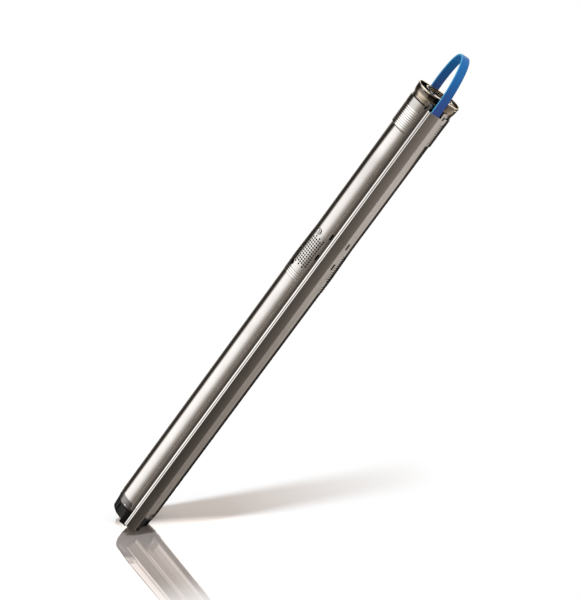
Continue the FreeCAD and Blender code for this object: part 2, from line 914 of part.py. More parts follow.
def shafts():
    """The pump shaft with its nut, the coupling, and the motor shaft below."""
    hub_top = stack_low + (S.stage_count - 1) * S.stage_pitch
    hub_top = hub_top + S.impeller_level + S.shroud_wall * 2 + S.vane_height + S.hub_rise
    nut_low = hub_top + S.fit_gap
    ring("shaft_nut", S.nut_radius, S.shaft_radius + S.run_gap, nut_low, nut_low + S.nut_height)
    coupling_top = stack_low - S.coupling_drop
    middle = coupling_top - S.coupling_length / 2
    shaft_top = top_chamber_top - S.bearing_drop + S.shaft_end
    rod("pump_shaft", S.shaft_radius, middle + S.fit_gap, shaft_top - middle - S.fit_gap)
    ring("shaft_coupling", S.coupling_radius, S.shaft_radius + S.run_gap,
         coupling_top - S.coupling_length, coupling_top)
    step = coupling_top - S.coupling_length - S.shaft_shoulder
    turned("motor_shaft", [
        (0.0, runner_low),
        (S.journal_radius, runner_low),
        (S.journal_radius, step),
        (S.shaft_radius, step),
        (S.shaft_radius, middle - S.fit_gap),
        (0.0, middle - S.fit_gap),
    ])


def suction_interconnector():
    """The casting between pump and motor: water enters between its pillars."""
    ring_top = sleeve_low + S.foot_ring_height
    flange = ring("inlet_flange", stack_radius, S.eye_radius, flange_low, stack_low)
    foot_outer = lower_radius - S.sleeve_wall - S.fit_gap
    foot = ring("inlet_foot", foot_outer, S.foot_ring_bore, sleeve_low + S.fit_gap, ring_top)
    pillar_outer = stack_radius - S.pillar_inset
    pillars = []
    for i, angle in enumerate(even_angles(S.pillar_count)):
        pillars.append(radial_block("inlet_pillar_%d" % (i + 1), S.pillar_width,
                                    pillar_outer - S.pillar_depth, pillar_outer,
                                    ring_top - ROOTED, flange_low - ring_top + ROOTED * 2, angle))
    whole = fused("interconnector_blank", [flange, foot] + pillars)
    screw_start = stack_radius - S.priming_length
    head_start = stack_radius + S.fit_gap * 2
    head_end = S.sleeve_radius + S.priming_proud
    hole = radial_rod("priming_thread", S.priming_shank + S.fit_gap, S.priming_angle, screw_start,
                      S.priming_length + OVERCUT, priming_level)
    carved("suction_interconnector", whole, [hole])
    shank = radial_rod("priming_shank", S.priming_shank, S.priming_angle,
                       screw_start + S.fit_gap, head_start + ROOTED - screw_start,
                       priming_level)
    head = radial_rod("priming_head", S.priming_radius, S.priming_angle, head_start,
                      head_end - head_start, priming_level)
    socket = radial_block("priming_socket", S.driver_slot_width, S.sleeve_radius,
                          head_end + OVERCUT, priming_level - S.driver_slot_length / 2,
                          S.driver_slot_length, S.priming_angle)
    carved("priming_screw", fused("priming_blank", [shank, head]), [socket])


# Heights inside the motor
head_plate_top = motor_top - S.fit_gap * 2
head_plate_low = head_plate_top - S.head_plate
bush_top = head_plate_top - S.bush_cover
can_top = head_plate_low + S.can_overlap
can_low = can_top - S.can_length
carrier_low = can_low - S.carrier_height
runner_top = carrier_low - S.runner_gap
runner_low = runner_top - S.runner_height
pad_top = runner_low - S.free_gap
plate_top_level = pad_top - S.pad_height
membrane_top = plate_top_level - S.thrust_plate_height
partition_top = membrane_top - S.membrane_wall
partition_low = partition_top - S.partition_height
shell_top = partition_low
shell_low = motor_low + S.ring_spigot


def motor_head():
    """The motor's upper plate with its spigot, shaft seal and radial bearing."""
    spigot = S.foot_ring_bore - S.fit_gap
    spigot_top = head_plate_top + S.spigot_rise
    bush_outer = S.journal_radius + S.run_gap + S.bush_wall
    ledge = head_plate_top - S.seal_ledge
    shaft_hole = S.journal_radius + S.journal_room
    skirt = S.can_radius + S.run_gap
    turned("motor_head", [
        (S.seal_radius, spigot_top),
        (spigot, spigot_top),
        (spigot, head_plate_top),
        (motor_fit, head_plate_top),
        (motor_fit, head_plate_low),
        (skirt, head_plate_low),
        (skirt, can_top + S.fit_gap),
        (bush_outer, can_top + S.fit_gap),
        (bush_outer, bush_top),
        (shaft_hole, bush_top),
        (shaft_hole, ledge),
        (S.seal_radius, ledge),
    ])
    ring("shaft_seal", S.seal_radius - S.fit_gap, S.journal_radius + S.free_gap, ledge,
         ledge + S.seal_height)
    ring("upper_bearing", bush_outer - S.run_gap, S.journal_radius + S.run_gap,
         bush_top - S.bush_length, bush_top)


def motor():
    """The canned motor: tube, stator with windings, and the rotor with its magnets."""
    ring("motor_tube", S.motor_radius, motor_bore, motor_low, motor_top)
    core_top = motor_top - S.stator_drop
    core_low = core_top - S.stator_length
    ring("stator_core", motor_fit, S.can_radius + S.run_gap, core_low, core_top)
    upper = ring("upper_windings", S.winding_outer, S.winding_inner, core_top,
                 core_top + S.winding_height)
    lower = ring("lower_windings", S.winding_outer, S.winding_inner, core_low - S.winding_height,
                 core_low)
    windings = DOC.addObject("Part::Compound", "stator_windings")
    windings.Links = [upper, lower]
    ring("stator_can", S.can_radius, S.can_radius - S.can_wall, can_low, can_top)
    magnet_outer = S.can_radius - S.can_wall - S.air_gap
    core_outer = magnet_outer - S.magnet_wall
    ring("rotor_core", core_outer - S.run_gap, S.journal_radius + S.run_gap, core_low, core_top)
    magnets = []
    for i in range(int(S.magnet_count.value)):
        start = 360.0 / S.magnet_count.value * i
        magnets.append(sector(core_outer.value, magnet_outer.value, start, S.magnet_spread.value,
                              core_low.value, S.stator_length.value))
    formed("rotor_magnets", Part.makeCompound(magnets))


def sector(inner, outer, start, spread, low, height):
    """A curved tile about the axis."""
    axis = FreeCAD.Vector(0, 0, 1)
    foot = FreeCAD.Vector(0, 0, low)
    tile = Part.makeCylinder(outer, height, foot, axis, spread)
    tile = tile.cut(Part.makeCylinder(inner, height, foot, axis, 360))
    tile.rotate(FreeCAD.Vector(0, 0, 0), axis, start)
    return tile


def thrust_end():
    """The lower bearing and, under it, the thrust bearing that carries the shaft's load."""
    bush_outer = S.journal_radius + S.run_gap + S.bush_wall
    bush_low = carrier_low + S.bush_floor
    shaft_hole = S.journal_radius + S.journal_room
    turned("lower_bearing_carrier", [
        (bush_outer, can_low),
        (motor_fit, can_low),
        (motor_fit, carrier_low),
        (shaft_hole, carrier_low),
        (shaft_hole, bush_low),
        (bush_outer, bush_low),
    ])
    ring("lower_bearing", bush_outer - S.run_gap, S.journal_radius + S.run_gap, bush_low,
         bush_low + S.bush_length)
    ring("thrust_runner", S.runner_radius, S.journal_radius + S.run_gap, runner_low, runner_top)
    pads = []
    for i in range(int(S.pad_count.value)):
        pads.append(sector(S.pad_inner.value, S.runner_radius.value,
                           360.0 / S.pad_count.value * i, S.pad_spread.value,
                           plate_top_level.value, S.pad_height.value))
    formed("thrust_pads", Part.makeCompound(pads))
    ring("thrust_plate", motor_fit, S.thrust_plate_bore, membrane_top, plate_top_level)
    well_low = membrane_top - S.membrane_wall - S.membrane_drop
    dish = S.partition_well - S.fit_gap
    membrane_edge = motor_fit - S.membrane_rim
    turned("diaphragm", [
        (0.0, well_low),
        (dish - S.membrane_wall, well_low),
        (dish, well_low + S.membrane_wall),
        (dish, partition_top),
        (membrane_edge, partition_top),
        (membrane_edge, membrane_top),
        (dish - S.membrane_wall, membrane_top),
        (dish - S.membrane_wall, well_low + S.membrane_wall),
        (0.0, well_low + S.membrane_wall),
    ])
    floor = partition_low + S.partition_floor
    turned("partition", [
        (0.0, partition_low),
        (motor_fit, partition_low),
        (motor_fit, membrane_top - S.fit_gap),
        (membrane_edge + S.fit_gap, membrane_top - S.fit_gap),
        (membrane_edge + S.fit_gap, partition_top),
        (S.partition_well, partition_top),
        (S.partition_well, floor),
        (0.0, floor),
    ])


def electronics():
    """The frequency converter in its own shell below the motor."""
    shell_outer = motor_fit
    inside = shell_outer - S.shell_wall
    turned("electronics_shell", [
        (0.0, shell_low),
        (shell_outer, shell_low),
        (shell_outer, shell_top),
        (inside, shell_top),
        (inside, shell_low + S.shell_wall),
        (0.0, shell_low + S.shell_wall),
    ])
    foot = shell_low + S.shell_wall + S.free_gap
    board_back = S.board_reach + S.board_wall
    sink_face = board_back + S.free_gap
    round_bar = rod("sink_bar", inside - S.fit_gap, foot, S.sink_length)
    back_half = block("sink_half", S.motor_radius * 2, S.motor_radius, S.sink_length, 0.0,
                      sink_face + S.motor_radius / 2, foot)
    shared("heat_sink", round_bar, back_half)
    block("circuit_board", S.board_width, S.board_wall, S.board_length, 0.0,
          S.board_reach + S.board_wall / 2, foot)
    cans = []
    for i in range(int(S.capacitor_count.value)):
        low = foot + S.component_start + S.capacitor_pitch * i
        cans.append(rod("capacitor_%d" % (i + 1), S.capacitor_radius, low, S.capacitor_length, 0.0,
                        S.board_reach - S.free_gap - S.capacitor_radius))
    capacitors = DOC.addObject("Part::Compound", "capacitors")
    capacitors.Links = cans
    outer = DOC.addObject("Part::Cylinder", "choke_outer")
    inner = DOC.addObject("Part::Cylinder", "choke_inner")
    level = foot + S.component_start + S.capacitor_pitch * S.capacitor_count + S.choke_radius
    flat = FreeCAD.Rotation(FreeCAD.Vector(1, 0, 0), 90)
    for one, radius in ((outer, S.choke_radius), (inner, S.choke_bore)):
        bind(one, "Radius", radius)
        bind(one, "Height", S.choke_height)
        place(one, 0.0, S.board_reach - S.free_gap, level, flat)
    carved("filter_choke", outer, [inner])


def lower_end():
    """The tapered closing ring and the moulded cap with its channels, feet and plug socket."""
    ring_foot = S.motor_radius - S.ring_taper
    blank = turned("ring_blank", [
        (S.ring_bore, ring_low),
        (ring_foot, ring_low),
        (S.motor_radius, motor_low - S.seam_gap / 3),
        (motor_fit, motor_low - S.seam_gap / 3),
        (motor_fit, shell_low - S.fit_gap),
        (S.ring_bore, shell_low - S.fit_gap),
    ])
    screw_level = ring_low + S.screw_rise
    holes = []
    screws = []
    start = ring_foot - S.screw_length
    for side, sign in (("left", -1), ("right", 1)):
        angle = sign * S.screw_angle
        holes.append(radial_rod("screw_hole_" + side, S.screw_radius + S.fit_gap, angle, start,
                                S.screw_length + OVERCUT, screw_level))
        screws.append(radial_rod("screw_" + side, S.screw_radius, angle, start + S.fit_gap,
                                 S.screw_length + S.screw_proud, screw_level))
    carved("end_ring", blank, holes)
    pair = DOC.addObject("Part::Compound", "ring_screws")
    pair.Links = screws

    top = ring_low - S.fit_gap
    cap_outer = ring_foot - S.cap_inset
    cap_foot = cap_outer - S.cap_taper
    body = turned("cap_body", [
        (0.0, top),
        (cap_outer, top),
        (cap_foot, cap_low + S.cap_round),
        (cap_foot - S.cap_round, cap_low),
        (S.cap_hollow_radius, cap_low),
        (S.cap_hollow_radius, cap_low + S.cap_hollow_depth),
        (0.0, cap_low + S.cap_hollow_depth),
    ])
    feet = []
    for side, sign in (("left", -1), ("right", 1)):
        foot_outer = cap_foot - S.foot_inset
        feet.append(radial_block("cap_foot_" + side, S.foot_width, foot_outer - S.foot_thickness,
                                 foot_outer, cap_low - S.foot_drop, S.foot_drop + S.foot_root,
                                 sign * S.foot_angle))
    whole = fused("cap_whole", [body] + feet)
    tools = []
    floor = cap_foot - S.channel_depth
    turns = [S.channel_angle, -S.channel_angle, 180 - S.channel_angle, S.channel_angle - 180]
    for i, turn in enumerate(turns):
        tools.append(radial_block("cap_channel_%d" % (i + 1), S.channel_width, floor,
                                  cap_outer + OVERCUT, cap_low - OVERCUT,
                                  S.cap_height - S.channel_roof + OVERCUT, turn))
    socket_wall = S.plug_seal_wall + S.fit_gap
    inner_end = plug_inner_face() - S.plug_pin_depth - S.free_gap
    outer_end = plug_inner_face() + S.plug_thickness
    tools.append(block("plug_socket", S.plug_pin_width + socket_wall * 2, outer_end - inner_end,
                       S.plug_pin_height + socket_wall * 2, 0.0, -(outer_end + inner_end) / 2,
                       plug_pin_level - socket_wall))
    carved("end_cap", whole, tools)


# Heights of the plug at the cable's lower end
plug_pin_level = ring_low - S.plug_pin_drop - S.plug_pin_height
plug_low = plug_pin_level - S.plug_heel
plug_top = plug_low + S.plug_length


def plug_inner_face():
    """How far from the axis the plug's inner face lies."""
    return S.guard_reach - S.guard_wall - S.fit_gap - S.plug_thickness


def cable_and_plug():
    """The flat cable under the guard, its plug at the lower end, and the loop over the head."""
    inner = plug_inner_face()
    body = block("plug_body", S.plug_width, S.plug_thickness, S.plug_length, 0.0,
                 -(inner + S.plug_thickness / 2), plug_low)
    pin = block("plug_pin", S.plug_pin_width, S.plug_pin_depth + ROOTED, S.plug_pin_height, 0.0,
                -(inner + (ROOTED - S.plug_pin_depth) / 2), plug_pin_level)
    fused("cable_plug", [body, pin])
    wall = S.plug_seal_wall
    seal_middle = -(inner - S.plug_seal_reach)
    seal_outer = block("seal_outer", S.plug_pin_width + wall * 2, S.plug_seal_width,
                       S.plug_pin_height + wall * 2, 0.0, seal_middle, plug_pin_level - wall)
    seal_inner = block("seal_inner", S.plug_pin_width + S.fit_gap, S.plug_seal_width + OVERCUT,
                       S.plug_pin_height + S.fit_gap, 0.0, seal_middle,
                       plug_pin_level - S.fit_gap / 2)
    carved("plug_seal", seal_outer, [seal_inner])
    top = sized(LOOP_ROUTE[0][1])
    run_low = plug_top
    block("drop_cable_run", S.cable_width, S.cable_thickness, top - run_low, 0.0,
          sized(LOOP_ROUTE[0][0]), run_low)
    formed("drop_cable_loop", ribbon(LOOP_ROUTE, S.cable_width.value, S.cable_thickness.value))


def ribbon(route, width, thickness):
    """A flat cable along a route in the plane X = 0: straight runs joined by tangent arcs."""
    points = [FreeCAD.Vector(0, y, z) for y, z in route]
    edges = []
    here = points[0]
    radii = []
    for before, corner, after in zip(points, points[1:], points[2:]):
        inward = (before - corner).normalize()
        outward = (after - corner).normalize()
        turn = math.pi - inward.getAngle(outward)
        shorter = min((before - corner).Length, (after - corner).Length)
        reach = 0.45 * shorter
        radius = reach / math.tan(turn / 2)
        radii.append(radius)
        start = corner + inward * reach
        end = corner + outward * reach
        bisector = (inward + outward).normalize()
        middle = corner + bisector * (radius / math.cos(turn / 2) - radius)
        edges.append(Part.LineSegment(here, start).toShape())
        edges.append(Part.Arc(start, middle, end).toShape())
        here = end
    edges.append(Part.LineSegment(here, points[-1]).toShape())
    line = Part.Wire(edges)
    print("cable bend radii", [round(radius, 1) for radius in radii])
    print("cable loop length", round(line.Length, 1))
    half = thickness / 2
    section = Part.makePolygon([
        FreeCAD.Vector(-width / 2, points[0].y - half, points[0].z),
        FreeCAD.Vector(width / 2, points[0].y - half, points[0].z),
        FreeCAD.Vector(width / 2, points[0].y + half, points[0].z),
        FreeCAD.Vector(-width / 2, points[0].y + half, points[0].z),
        FreeCAD.Vector(-width / 2, points[0].y - half, points[0].z),
    ])
    solid = line.makePipeShell([section], True, False)
    print("cable loop volume", round(solid.Volume), "expected",
          round(line.Length * width * thickness))
    return solid


def bend_points(centre, first, last):
    """A bend's start, middle and end, from its centre and two points equally far from it."""
    radius = (first - centre).Length
    outward = ((first - centre) + (last - centre)).normalize()
    return [first, centre + outward * radius, last]


def guard_bends(wing):
    """The root bend and the corner bend of the guard's outer line, on its right side.

    The side leans inwards. The root bend touches the wing and the side, and the corner bend
    touches the side and the flat.
    """
    lean = math.radians(S.guard_lean.value)
    half = S.plug_width.value / 2 + S.guard_side_gap.value
    corner = FreeCAD.Vector(half, -S.guard_reach.value, 0)
    along = FreeCAD.Vector(math.sin(lean), math.cos(lean), 0)
    outward = FreeCAD.Vector(math.cos(lean), -math.sin(lean), 0)
    start = corner + outward * S.bend_root.value
    reach = wing + S.bend_root.value
    drop = start.dot(along)
    centre = start - along * (drop + math.sqrt(drop ** 2 - start.dot(start) + reach ** 2))
    root = bend_points(centre, centre * (wing / reach), centre - outward * S.bend_root.value)
    inset = S.bend_corner.value * math.tan((math.pi / 2 - lean) / 2)
    centre = FreeCAD.Vector(half - inset, S.bend_corner.value - S.guard_reach.value, 0)
    corner_bend = bend_points(centre, centre + outward * S.bend_corner.value,
                              FreeCAD.Vector(centre.x, corner.y, 0))
    return root, corner_bend


def guard_profile(wing):
    """The guard's section, bent from one strip: a wing, a channel and a wing."""
    root, corner = guard_bends(wing)
    tip = math.radians(S.wing_angle.value)
    start = math.atan2(root[0].x, -root[0].y)

    def spot(angle):
        return FreeCAD.Vector(wing * math.sin(angle), -wing * math.cos(angle), 0)

    edges = []
    for sign in (-1, 1):
        arcs = [[spot(tip), spot((tip + start) / 2), root[0]], root, corner]
        for arc in arcs:
            edges.append(Part.Arc(*[FreeCAD.Vector(sign * p.x, p.y, 0) for p in arc]).toShape())
        side = [FreeCAD.Vector(sign * p.x, p.y, 0) for p in (root[2], corner[0])]
        edges.append(Part.LineSegment(*side).toShape())
    flat = [FreeCAD.Vector(sign * corner[2].x, corner[2].y, 0) for sign in (-1, 1)]
    edges.append(Part.LineSegment(*flat).toShape())
    strip = Part.Wire(Part.__sortEdges__(edges))
    face = strip.makeOffset2D(S.guard_wall.value, 2, True, True)
    if face.BoundBox.YMin < -(S.guard_reach.value + TOUCH):
        face = strip.makeOffset2D(-S.guard_wall.value, 2, True, True)
    return face


def cable_guard():
    """The guard over the cable: a long hat section with hook tabs, slots and stepped ends."""
    low = -S.guard_channel_end.value
    top = -S.guard_start.value + S.tab_rise.value
    wing = band_radius.value + S.wing_gap.value + S.guard_wall.value
    face = guard_profile(wing)
    bar = face.extrude(FreeCAD.Vector(0, 0, top - low))
    bar.translate(FreeCAD.Vector(0, 0, low - face.BoundBox.ZMin))
    touch, _, foot = guard_bends(wing)[0]
    tab_x = touch.x - S.tab_inset.value
    deep = S.guard_reach.value + OVERCUT
    wings_end = -S.guard_wings_end.value
    tools = [
        Part.makeBox(2 * tab_x, deep, S.tab_rise.value + OVERCUT,
                     FreeCAD.Vector(-tab_x, -deep, -S.guard_start.value)),
        Part.makeBox(2 * wing, wing, wings_end - low + OVERCUT,
                     FreeCAD.Vector(-wing, foot.y, low - OVERCUT)),
    ]
    step_x = wing * math.sin(math.radians(S.wing_step_angle.value))
    for sign in (-1, 1):
        near, far = sorted((sign * step_x, sign * deep))
        tools.append(Part.makeBox(far - near, deep, S.wing_step.value,
                                  FreeCAD.Vector(near, -deep, wings_end)))
    wing_slot = (S.wing_slot_angle.value, S.wing_slot_width.value, S.wing_slot_height.value)
    tab_slot = (S.tab_slot_angle.value, S.tab_slot_width.value, S.tab_slot_height.value)
    slots = [
        wing_slot + (S.upper_slot_depth.value,),
        wing_slot + (S.lower_slot_depth.value,),
        tab_slot + (S.guard_start.value - S.tab_rise.value / 2,),
    ]
    for angle, width, height, depth in slots:
        for sign in (-1, 1):
            slot = Part.makeBox(width, deep - wing / 2, height,
                                FreeCAD.Vector(-width / 2, -deep, -depth - height))
            slot.rotate(FreeCAD.Vector(0, 0, 0), FreeCAD.Vector(0, 0, 1), sign * angle)
            tools.append(slot)
    formed("cable_guard", bar.cut(tools))


PARTS = [
    "discharge_head", "head_o_ring", "valve_seat", "valve_poppet", "valve_guide", "valve_spring",
    "pump_sleeve", "top_chamber", "top_bearing", "shaft_nut", "pump_shaft", "shaft_coupling",
    "suction_interconnector", "priming_screw", "cable_guard", "drop_cable_run",
    "drop_cable_loop", "cable_plug", "plug_seal", "motor_head", "shaft_seal", "upper_bearing",
    "motor_tube", "stator_core", "stator_windings", "stator_can", "rotor_core", "rotor_magnets",
    "motor_shaft", "lower_bearing_carrier", "lower_bearing", "thrust_runner", "thrust_pads",
    "thrust_plate", "diaphragm", "partition", "electronics_shell", "heat_sink", "circuit_board",
    "capacitors", "filter_choke", "end_ring", "ring_screws", "end_cap",
]
for stage in range(1, int(S.stage_count.value) + 1):
    PARTS += ["stage_chamber_%d" % stage, "impeller_%d" % stage]


def write_parts():
    """Checks every object and writes each sub-part's solid to its own file."""
    for one in DOC.Objects:
        state = list(getattr(one, "State", []))
        if "Invalid" in state or "Error" in state:
            raise RuntimeError("%s failed: %s" % (one.Label, state))
    os.makedirs("parts", exist_ok=True)
    for label in PARTS:
        found = DOC.getObjectsByLabel(label)
        if len(found) != 1:
            raise RuntimeError("no single object is labelled " + label)
        shape = found[0].Shape
        if shape.isNull() or not shape.isValid() or not shape.Solids:
            raise RuntimeError("%s has no valid solid" % label)
        shape.exportStep("parts/%s.step" % label)
    print("sub-parts written:", len(PARTS))


discharge_head()
check_valve()
pump_sleeve()
stages()
top_chamber()
shafts()
suction_interconnector()
motor_head()
motor()
thrust_end()
electronics()
lower_end()
cable_and_plug()
cable_guard()
DOC.recompute()
write_parts()
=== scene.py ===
# %% [markdown]
# # Dressing a borehole pump for its photograph
# The pump is a slim stainless steel tube, made to hang in a well. Its solids come from the
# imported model, already in place. This script gives them the surfaces that the photograph shows.
# The pump's sizes are in millimetres, as on a drawing. Meshes, camera and floor are in metres.

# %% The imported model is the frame
import bmesh
import bpy
import json
import math
import numpy as np
from mathutils import Matrix, Vector


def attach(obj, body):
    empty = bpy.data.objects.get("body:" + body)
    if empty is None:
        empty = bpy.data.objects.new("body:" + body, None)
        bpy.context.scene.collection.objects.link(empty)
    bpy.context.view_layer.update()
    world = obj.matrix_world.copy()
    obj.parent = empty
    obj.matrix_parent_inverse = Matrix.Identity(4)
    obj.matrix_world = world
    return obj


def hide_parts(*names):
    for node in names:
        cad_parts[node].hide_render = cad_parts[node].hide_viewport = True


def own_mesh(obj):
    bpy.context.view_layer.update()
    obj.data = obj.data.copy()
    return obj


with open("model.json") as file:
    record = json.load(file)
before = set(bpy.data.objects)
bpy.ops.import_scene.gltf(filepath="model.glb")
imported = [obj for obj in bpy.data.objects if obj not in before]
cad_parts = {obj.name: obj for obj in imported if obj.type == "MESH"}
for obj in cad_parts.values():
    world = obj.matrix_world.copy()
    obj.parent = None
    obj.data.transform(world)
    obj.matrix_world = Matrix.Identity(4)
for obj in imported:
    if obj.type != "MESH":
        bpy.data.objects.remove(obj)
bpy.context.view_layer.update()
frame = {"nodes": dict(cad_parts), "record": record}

MM = 0.001

# %% [markdown]
# ## The camera
# The photograph was taken from about 2.6 metres, a little above the discharge head and to the
# left of the cable guard, with the pump leaning to the right in the picture. The camera's place,
# the point it aims at and its roll were worked out from the outlines of the tube, so the render can
# be laid over the photograph.

# %% The camera at the photograph's place
scene = bpy.context.scene


def placed(name, data):
    """A new object in the scene."""
    thing = bpy.data.objects.new(name, data)
    scene.collection.objects.link(thing)
    return thing


CAMERA_PLACE = Vector((-0.81862, -2.33762, 0.45795))
CAMERA_AIM = Vector((0.002543, -0.000839, -0.389208))
CAMERA_ROLL = math.radians(36.3722)
LENS = 103.031

camera = placed("camera", bpy.data.cameras.new("camera"))
camera.data.lens = LENS
camera.data.sensor_width = 36.0
camera.data.clip_start = 0.1
camera.data.clip_end = 100.0
looking = (CAMERA_AIM - CAMERA_PLACE).to_track_quat("-Z", "Y").to_matrix()
turned_camera = looking @ Matrix.Rotation(CAMERA_ROLL, 3, "Z")
camera.matrix_world = Matrix.Translation(CAMERA_PLACE) @ turned_camera.to_4x4()
scene.camera = camera
print("camera", round((CAMERA_AIM - CAMERA_PLACE).length, 3), "m from the point it looks at")

# %% [markdown]
# ## The cable's way over the head
# The flat drop cable leaves the guard at its top, arches over the discharge mouth and goes down
# into the recess at the back. Its line is a NURBS curve, because such a curve bends as evenly as
# a sheathed cable does. Its control points are those of the route in the pump's source.

# %% The route as a smooth curve
LOOP_ROUTE = [
    (-36.7, -22.0), (-36.6, -6.0), (-34.9, 10.5), (-30.0, 27.0), (-23.0, 42.5),
    (-12.6, 57.0), (2.0, 65.2), (18.6, 61.8), (29.2, 49.8), (34.2, 34.0),
    (36.7, 17.0), (36.3, 1.0), (34.3, -10.0), (34.0, -20.3),
]


def points_of(mesh):
    """The mesh's points as an array."""
    points = np.empty(len(mesh.vertices) * 3)
    mesh.vertices.foreach_get("co", points)
    return points.reshape(-1, 3)


def smooth_line(route):
    """The points of a NURBS curve of order 3 whose control points are the route's, in metres."""
    curve = bpy.data.curves.new("route", "CURVE")
    curve.dimensions = "3D"
    curve.resolution_u = 12
    spline = curve.splines.new("NURBS")
    spline.points.add(len(route) - 1)
    places = np.array([(0.0, y * MM, z * MM, 1.0) for y, z in route])
    spline.points.foreach_set("co", places.ravel())
    spline.order_u = 3
    spline.use_endpoint_u = True
    holder = placed("route", curve)
    bpy.context.view_layer.update()
    points = points_of(bpy.data.meshes.new_from_object(holder))
    bpy.data.objects.remove(holder)
    return points


cable_line = smooth_line(LOOP_ROUTE)

# %% [markdown]
# ## Meshes from arrays
# Nearly every piece here is turned or made from sheet, so its skin is a grid of points from a
# formula. Helpers list the quads of such a grid, set points round the axis, and turn points and
# faces into an object that rides on the pump's body.

# %% Helpers that make meshes
MERGE_WITHIN = 0.004
new_pieces = {}


def quads_of(rows, columns, closed_rows=False, closed_columns=False):
    """Corner numbers of the quads of a grid whose points are numbered row by row."""
    row = np.arange(rows if closed_rows else rows - 1)
    column = np.arange(columns if closed_columns else columns - 1)
    row, column = np.meshgrid(row, column, indexing="ij")
    next_row = (row + 1) % rows
    next_column = (column + 1) % columns
    corners = [
        row * columns + column,
        row * columns + next_column,
        next_row * columns + next_column,
        next_row * columns + column,
    ]
    return np.stack(corners, -1).reshape(-1, 4)


def around_axis(radius, level, angle):
    """Angles start at the guard's middle: x = r * sin(angle), y = -r * cos(angle)."""
    places = np.broadcast_arrays(radius * np.sin(angle), -radius * np.cos(angle), level)
    return np.stack(places, -1)


def piece_from(name, points, faces, slot, sharp=35.0):
    """An object with these points, in millimetres. Points that meet are merged, the faces are
    turned outwards, and edges sharper than the angle stay crisp."""
    mesh = bpy.data.meshes.new(name)
    mesh.from_pydata((points * MM).tolist(), [], faces)
    work = bmesh.new()
    work.from_mesh(mesh)
    bmesh.ops.remove_doubles(work, verts=work.verts, dist=MERGE_WITHIN * MM)
    bmesh.ops.recalc_face_normals(work, faces=work.faces)
    work.to_mesh(mesh)
    work.free()
    return dressed(name, mesh, slot, sharp)


def dressed(name, mesh, slot, sharp):
    """The mesh as a smooth piece that rides on the pump's body and knows its material slot."""
    mesh.shade_smooth()
    mesh.set_sharp_from_angle(angle=math.radians(sharp))
    piece = placed(name, mesh)
    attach(piece, "pump_body")
    new_pieces[piece] = slot
    print(name, len(mesh.polygons), "faces")
    return piece


# %% [markdown]
# ## The cable itself
# The cable is flat, about 14 by 4 millimetres, with round edges. Its section is carried along the
# smooth line, always square to it, with its width across the pump.

# %% The cable's mesh
CABLE_WIDTH = 14.0
CABLE_THICKNESS = 4.0
ROUND_STEPS = 12
FLAT_STEPS = 7


def flat_section(width, thickness):
    """A stadium: two half circles whose diameter is the thickness, joined by flats."""
    turn = np.linspace(-math.pi / 2, math.pi / 2, ROUND_STEPS)
    reach = (width - thickness) / 2
    right = np.stack([reach + thickness / 2 * np.cos(turn), thickness / 2 * np.sin(turn)], -1)
    flats = np.linspace(reach, -reach, FLAT_STEPS)[1:-1]
    top = np.stack([flats, np.full_like(flats, thickness / 2)], -1)
    return np.concatenate([right, top, -right, -top])


def swept(line, section):
    """Each station is its place on the line plus across * X plus out * N, where N is square to
    both X and the line's direction."""
    along = np.gradient(line, axis=0)
    along /= np.linalg.norm(along, axis=1, keepdims=True)
    across = np.array([1.0, 0.0, 0.0])
    out = np.cross(along, across)
    return (line[:, None, :] + section[None, :, 0, None] * across
            + section[None, :, 1, None] * out[:, None, :])


section = flat_section(CABLE_WIDTH, CABLE_THICKNESS)
stations = swept(cable_line / MM, section)
rows, columns = len(stations), len(section)
cable_faces = quads_of(rows, columns, closed_columns=True).tolist()
cable_faces += [list(range(columns)), list(range((rows - 1) * columns, rows * columns))]
cable_loop = piece_from("cable_loop", stations.reshape(-1, 3), cable_faces, "blue_cable")
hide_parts("drop_cable_loop")

# %% [markdown]
# ## The motor tube
# The tube's outline, as a lathe hand would draw it, is carried round the axis. Its solid is cut into
# flat facets, and a polished tube would show them in its reflections, so it gets a finer skin here.

# %% The motor tube's skin
TUBE_RADIUS = 34.0
TUBE_WALL = 1.5
TUBE_TOP = -350.0
TUBE_LOW = -810.3
EDGE = 0.35
AROUND = 192


def turned(name, radius, level, angle, slot):
    """A closed skin whose rows go round the axis, each at its level."""
    points = around_axis(radius, level[:, None], angle)
    faces = quads_of(len(level), len(angle), closed_rows=True, closed_columns=True)
    return piece_from(name, points.reshape(-1, 3), faces.tolist(), slot)


radius, level = np.array([
    (TUBE_RADIUS - TUBE_WALL, TUBE_TOP), (TUBE_RADIUS - EDGE, TUBE_TOP),
    (TUBE_RADIUS, TUBE_TOP - EDGE), (TUBE_RADIUS, TUBE_LOW + EDGE),
    (TUBE_RADIUS - EDGE, TUBE_LOW), (TUBE_RADIUS - TUBE_WALL, TUBE_LOW),
]).T
angle = np.arange(AROUND) * 2 * math.pi / AROUND
motor_tube = turned("polished_motor_tube", radius[:, None], level, angle, "stainless_steel")
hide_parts("motor_tube")

# %% [markdown]
# ## Sheet with holes
# The pump sleeve and the cable guard are both sheet steel with holes. Cutting hundreds of holes
# with booleans would be slow and leave ragged faces. Instead the sheet is a grid with two skins,
# and each hole takes a block of its cells away. A ring of quads then runs from the block's border
# to the hole's edge, and a short wall joins the two skins there.

# %% A sheet on a grid, with rims and holes
def slot_reach(angle, radius, straight):
    """How far a slot's edge is from its middle, in a direction. The slot has round ends of the
    radius, at the ends of a straight of this half length that runs along the levels."""
    side = np.abs(np.cos(angle)) + 1e-9
    rise = np.abs(np.sin(angle))
    inside = np.maximum(radius ** 2 - (straight * side) ** 2, 0.0)
    return np.where(radius * rise <= straight * side, radius / side,
                    straight * rise + np.sqrt(inside))


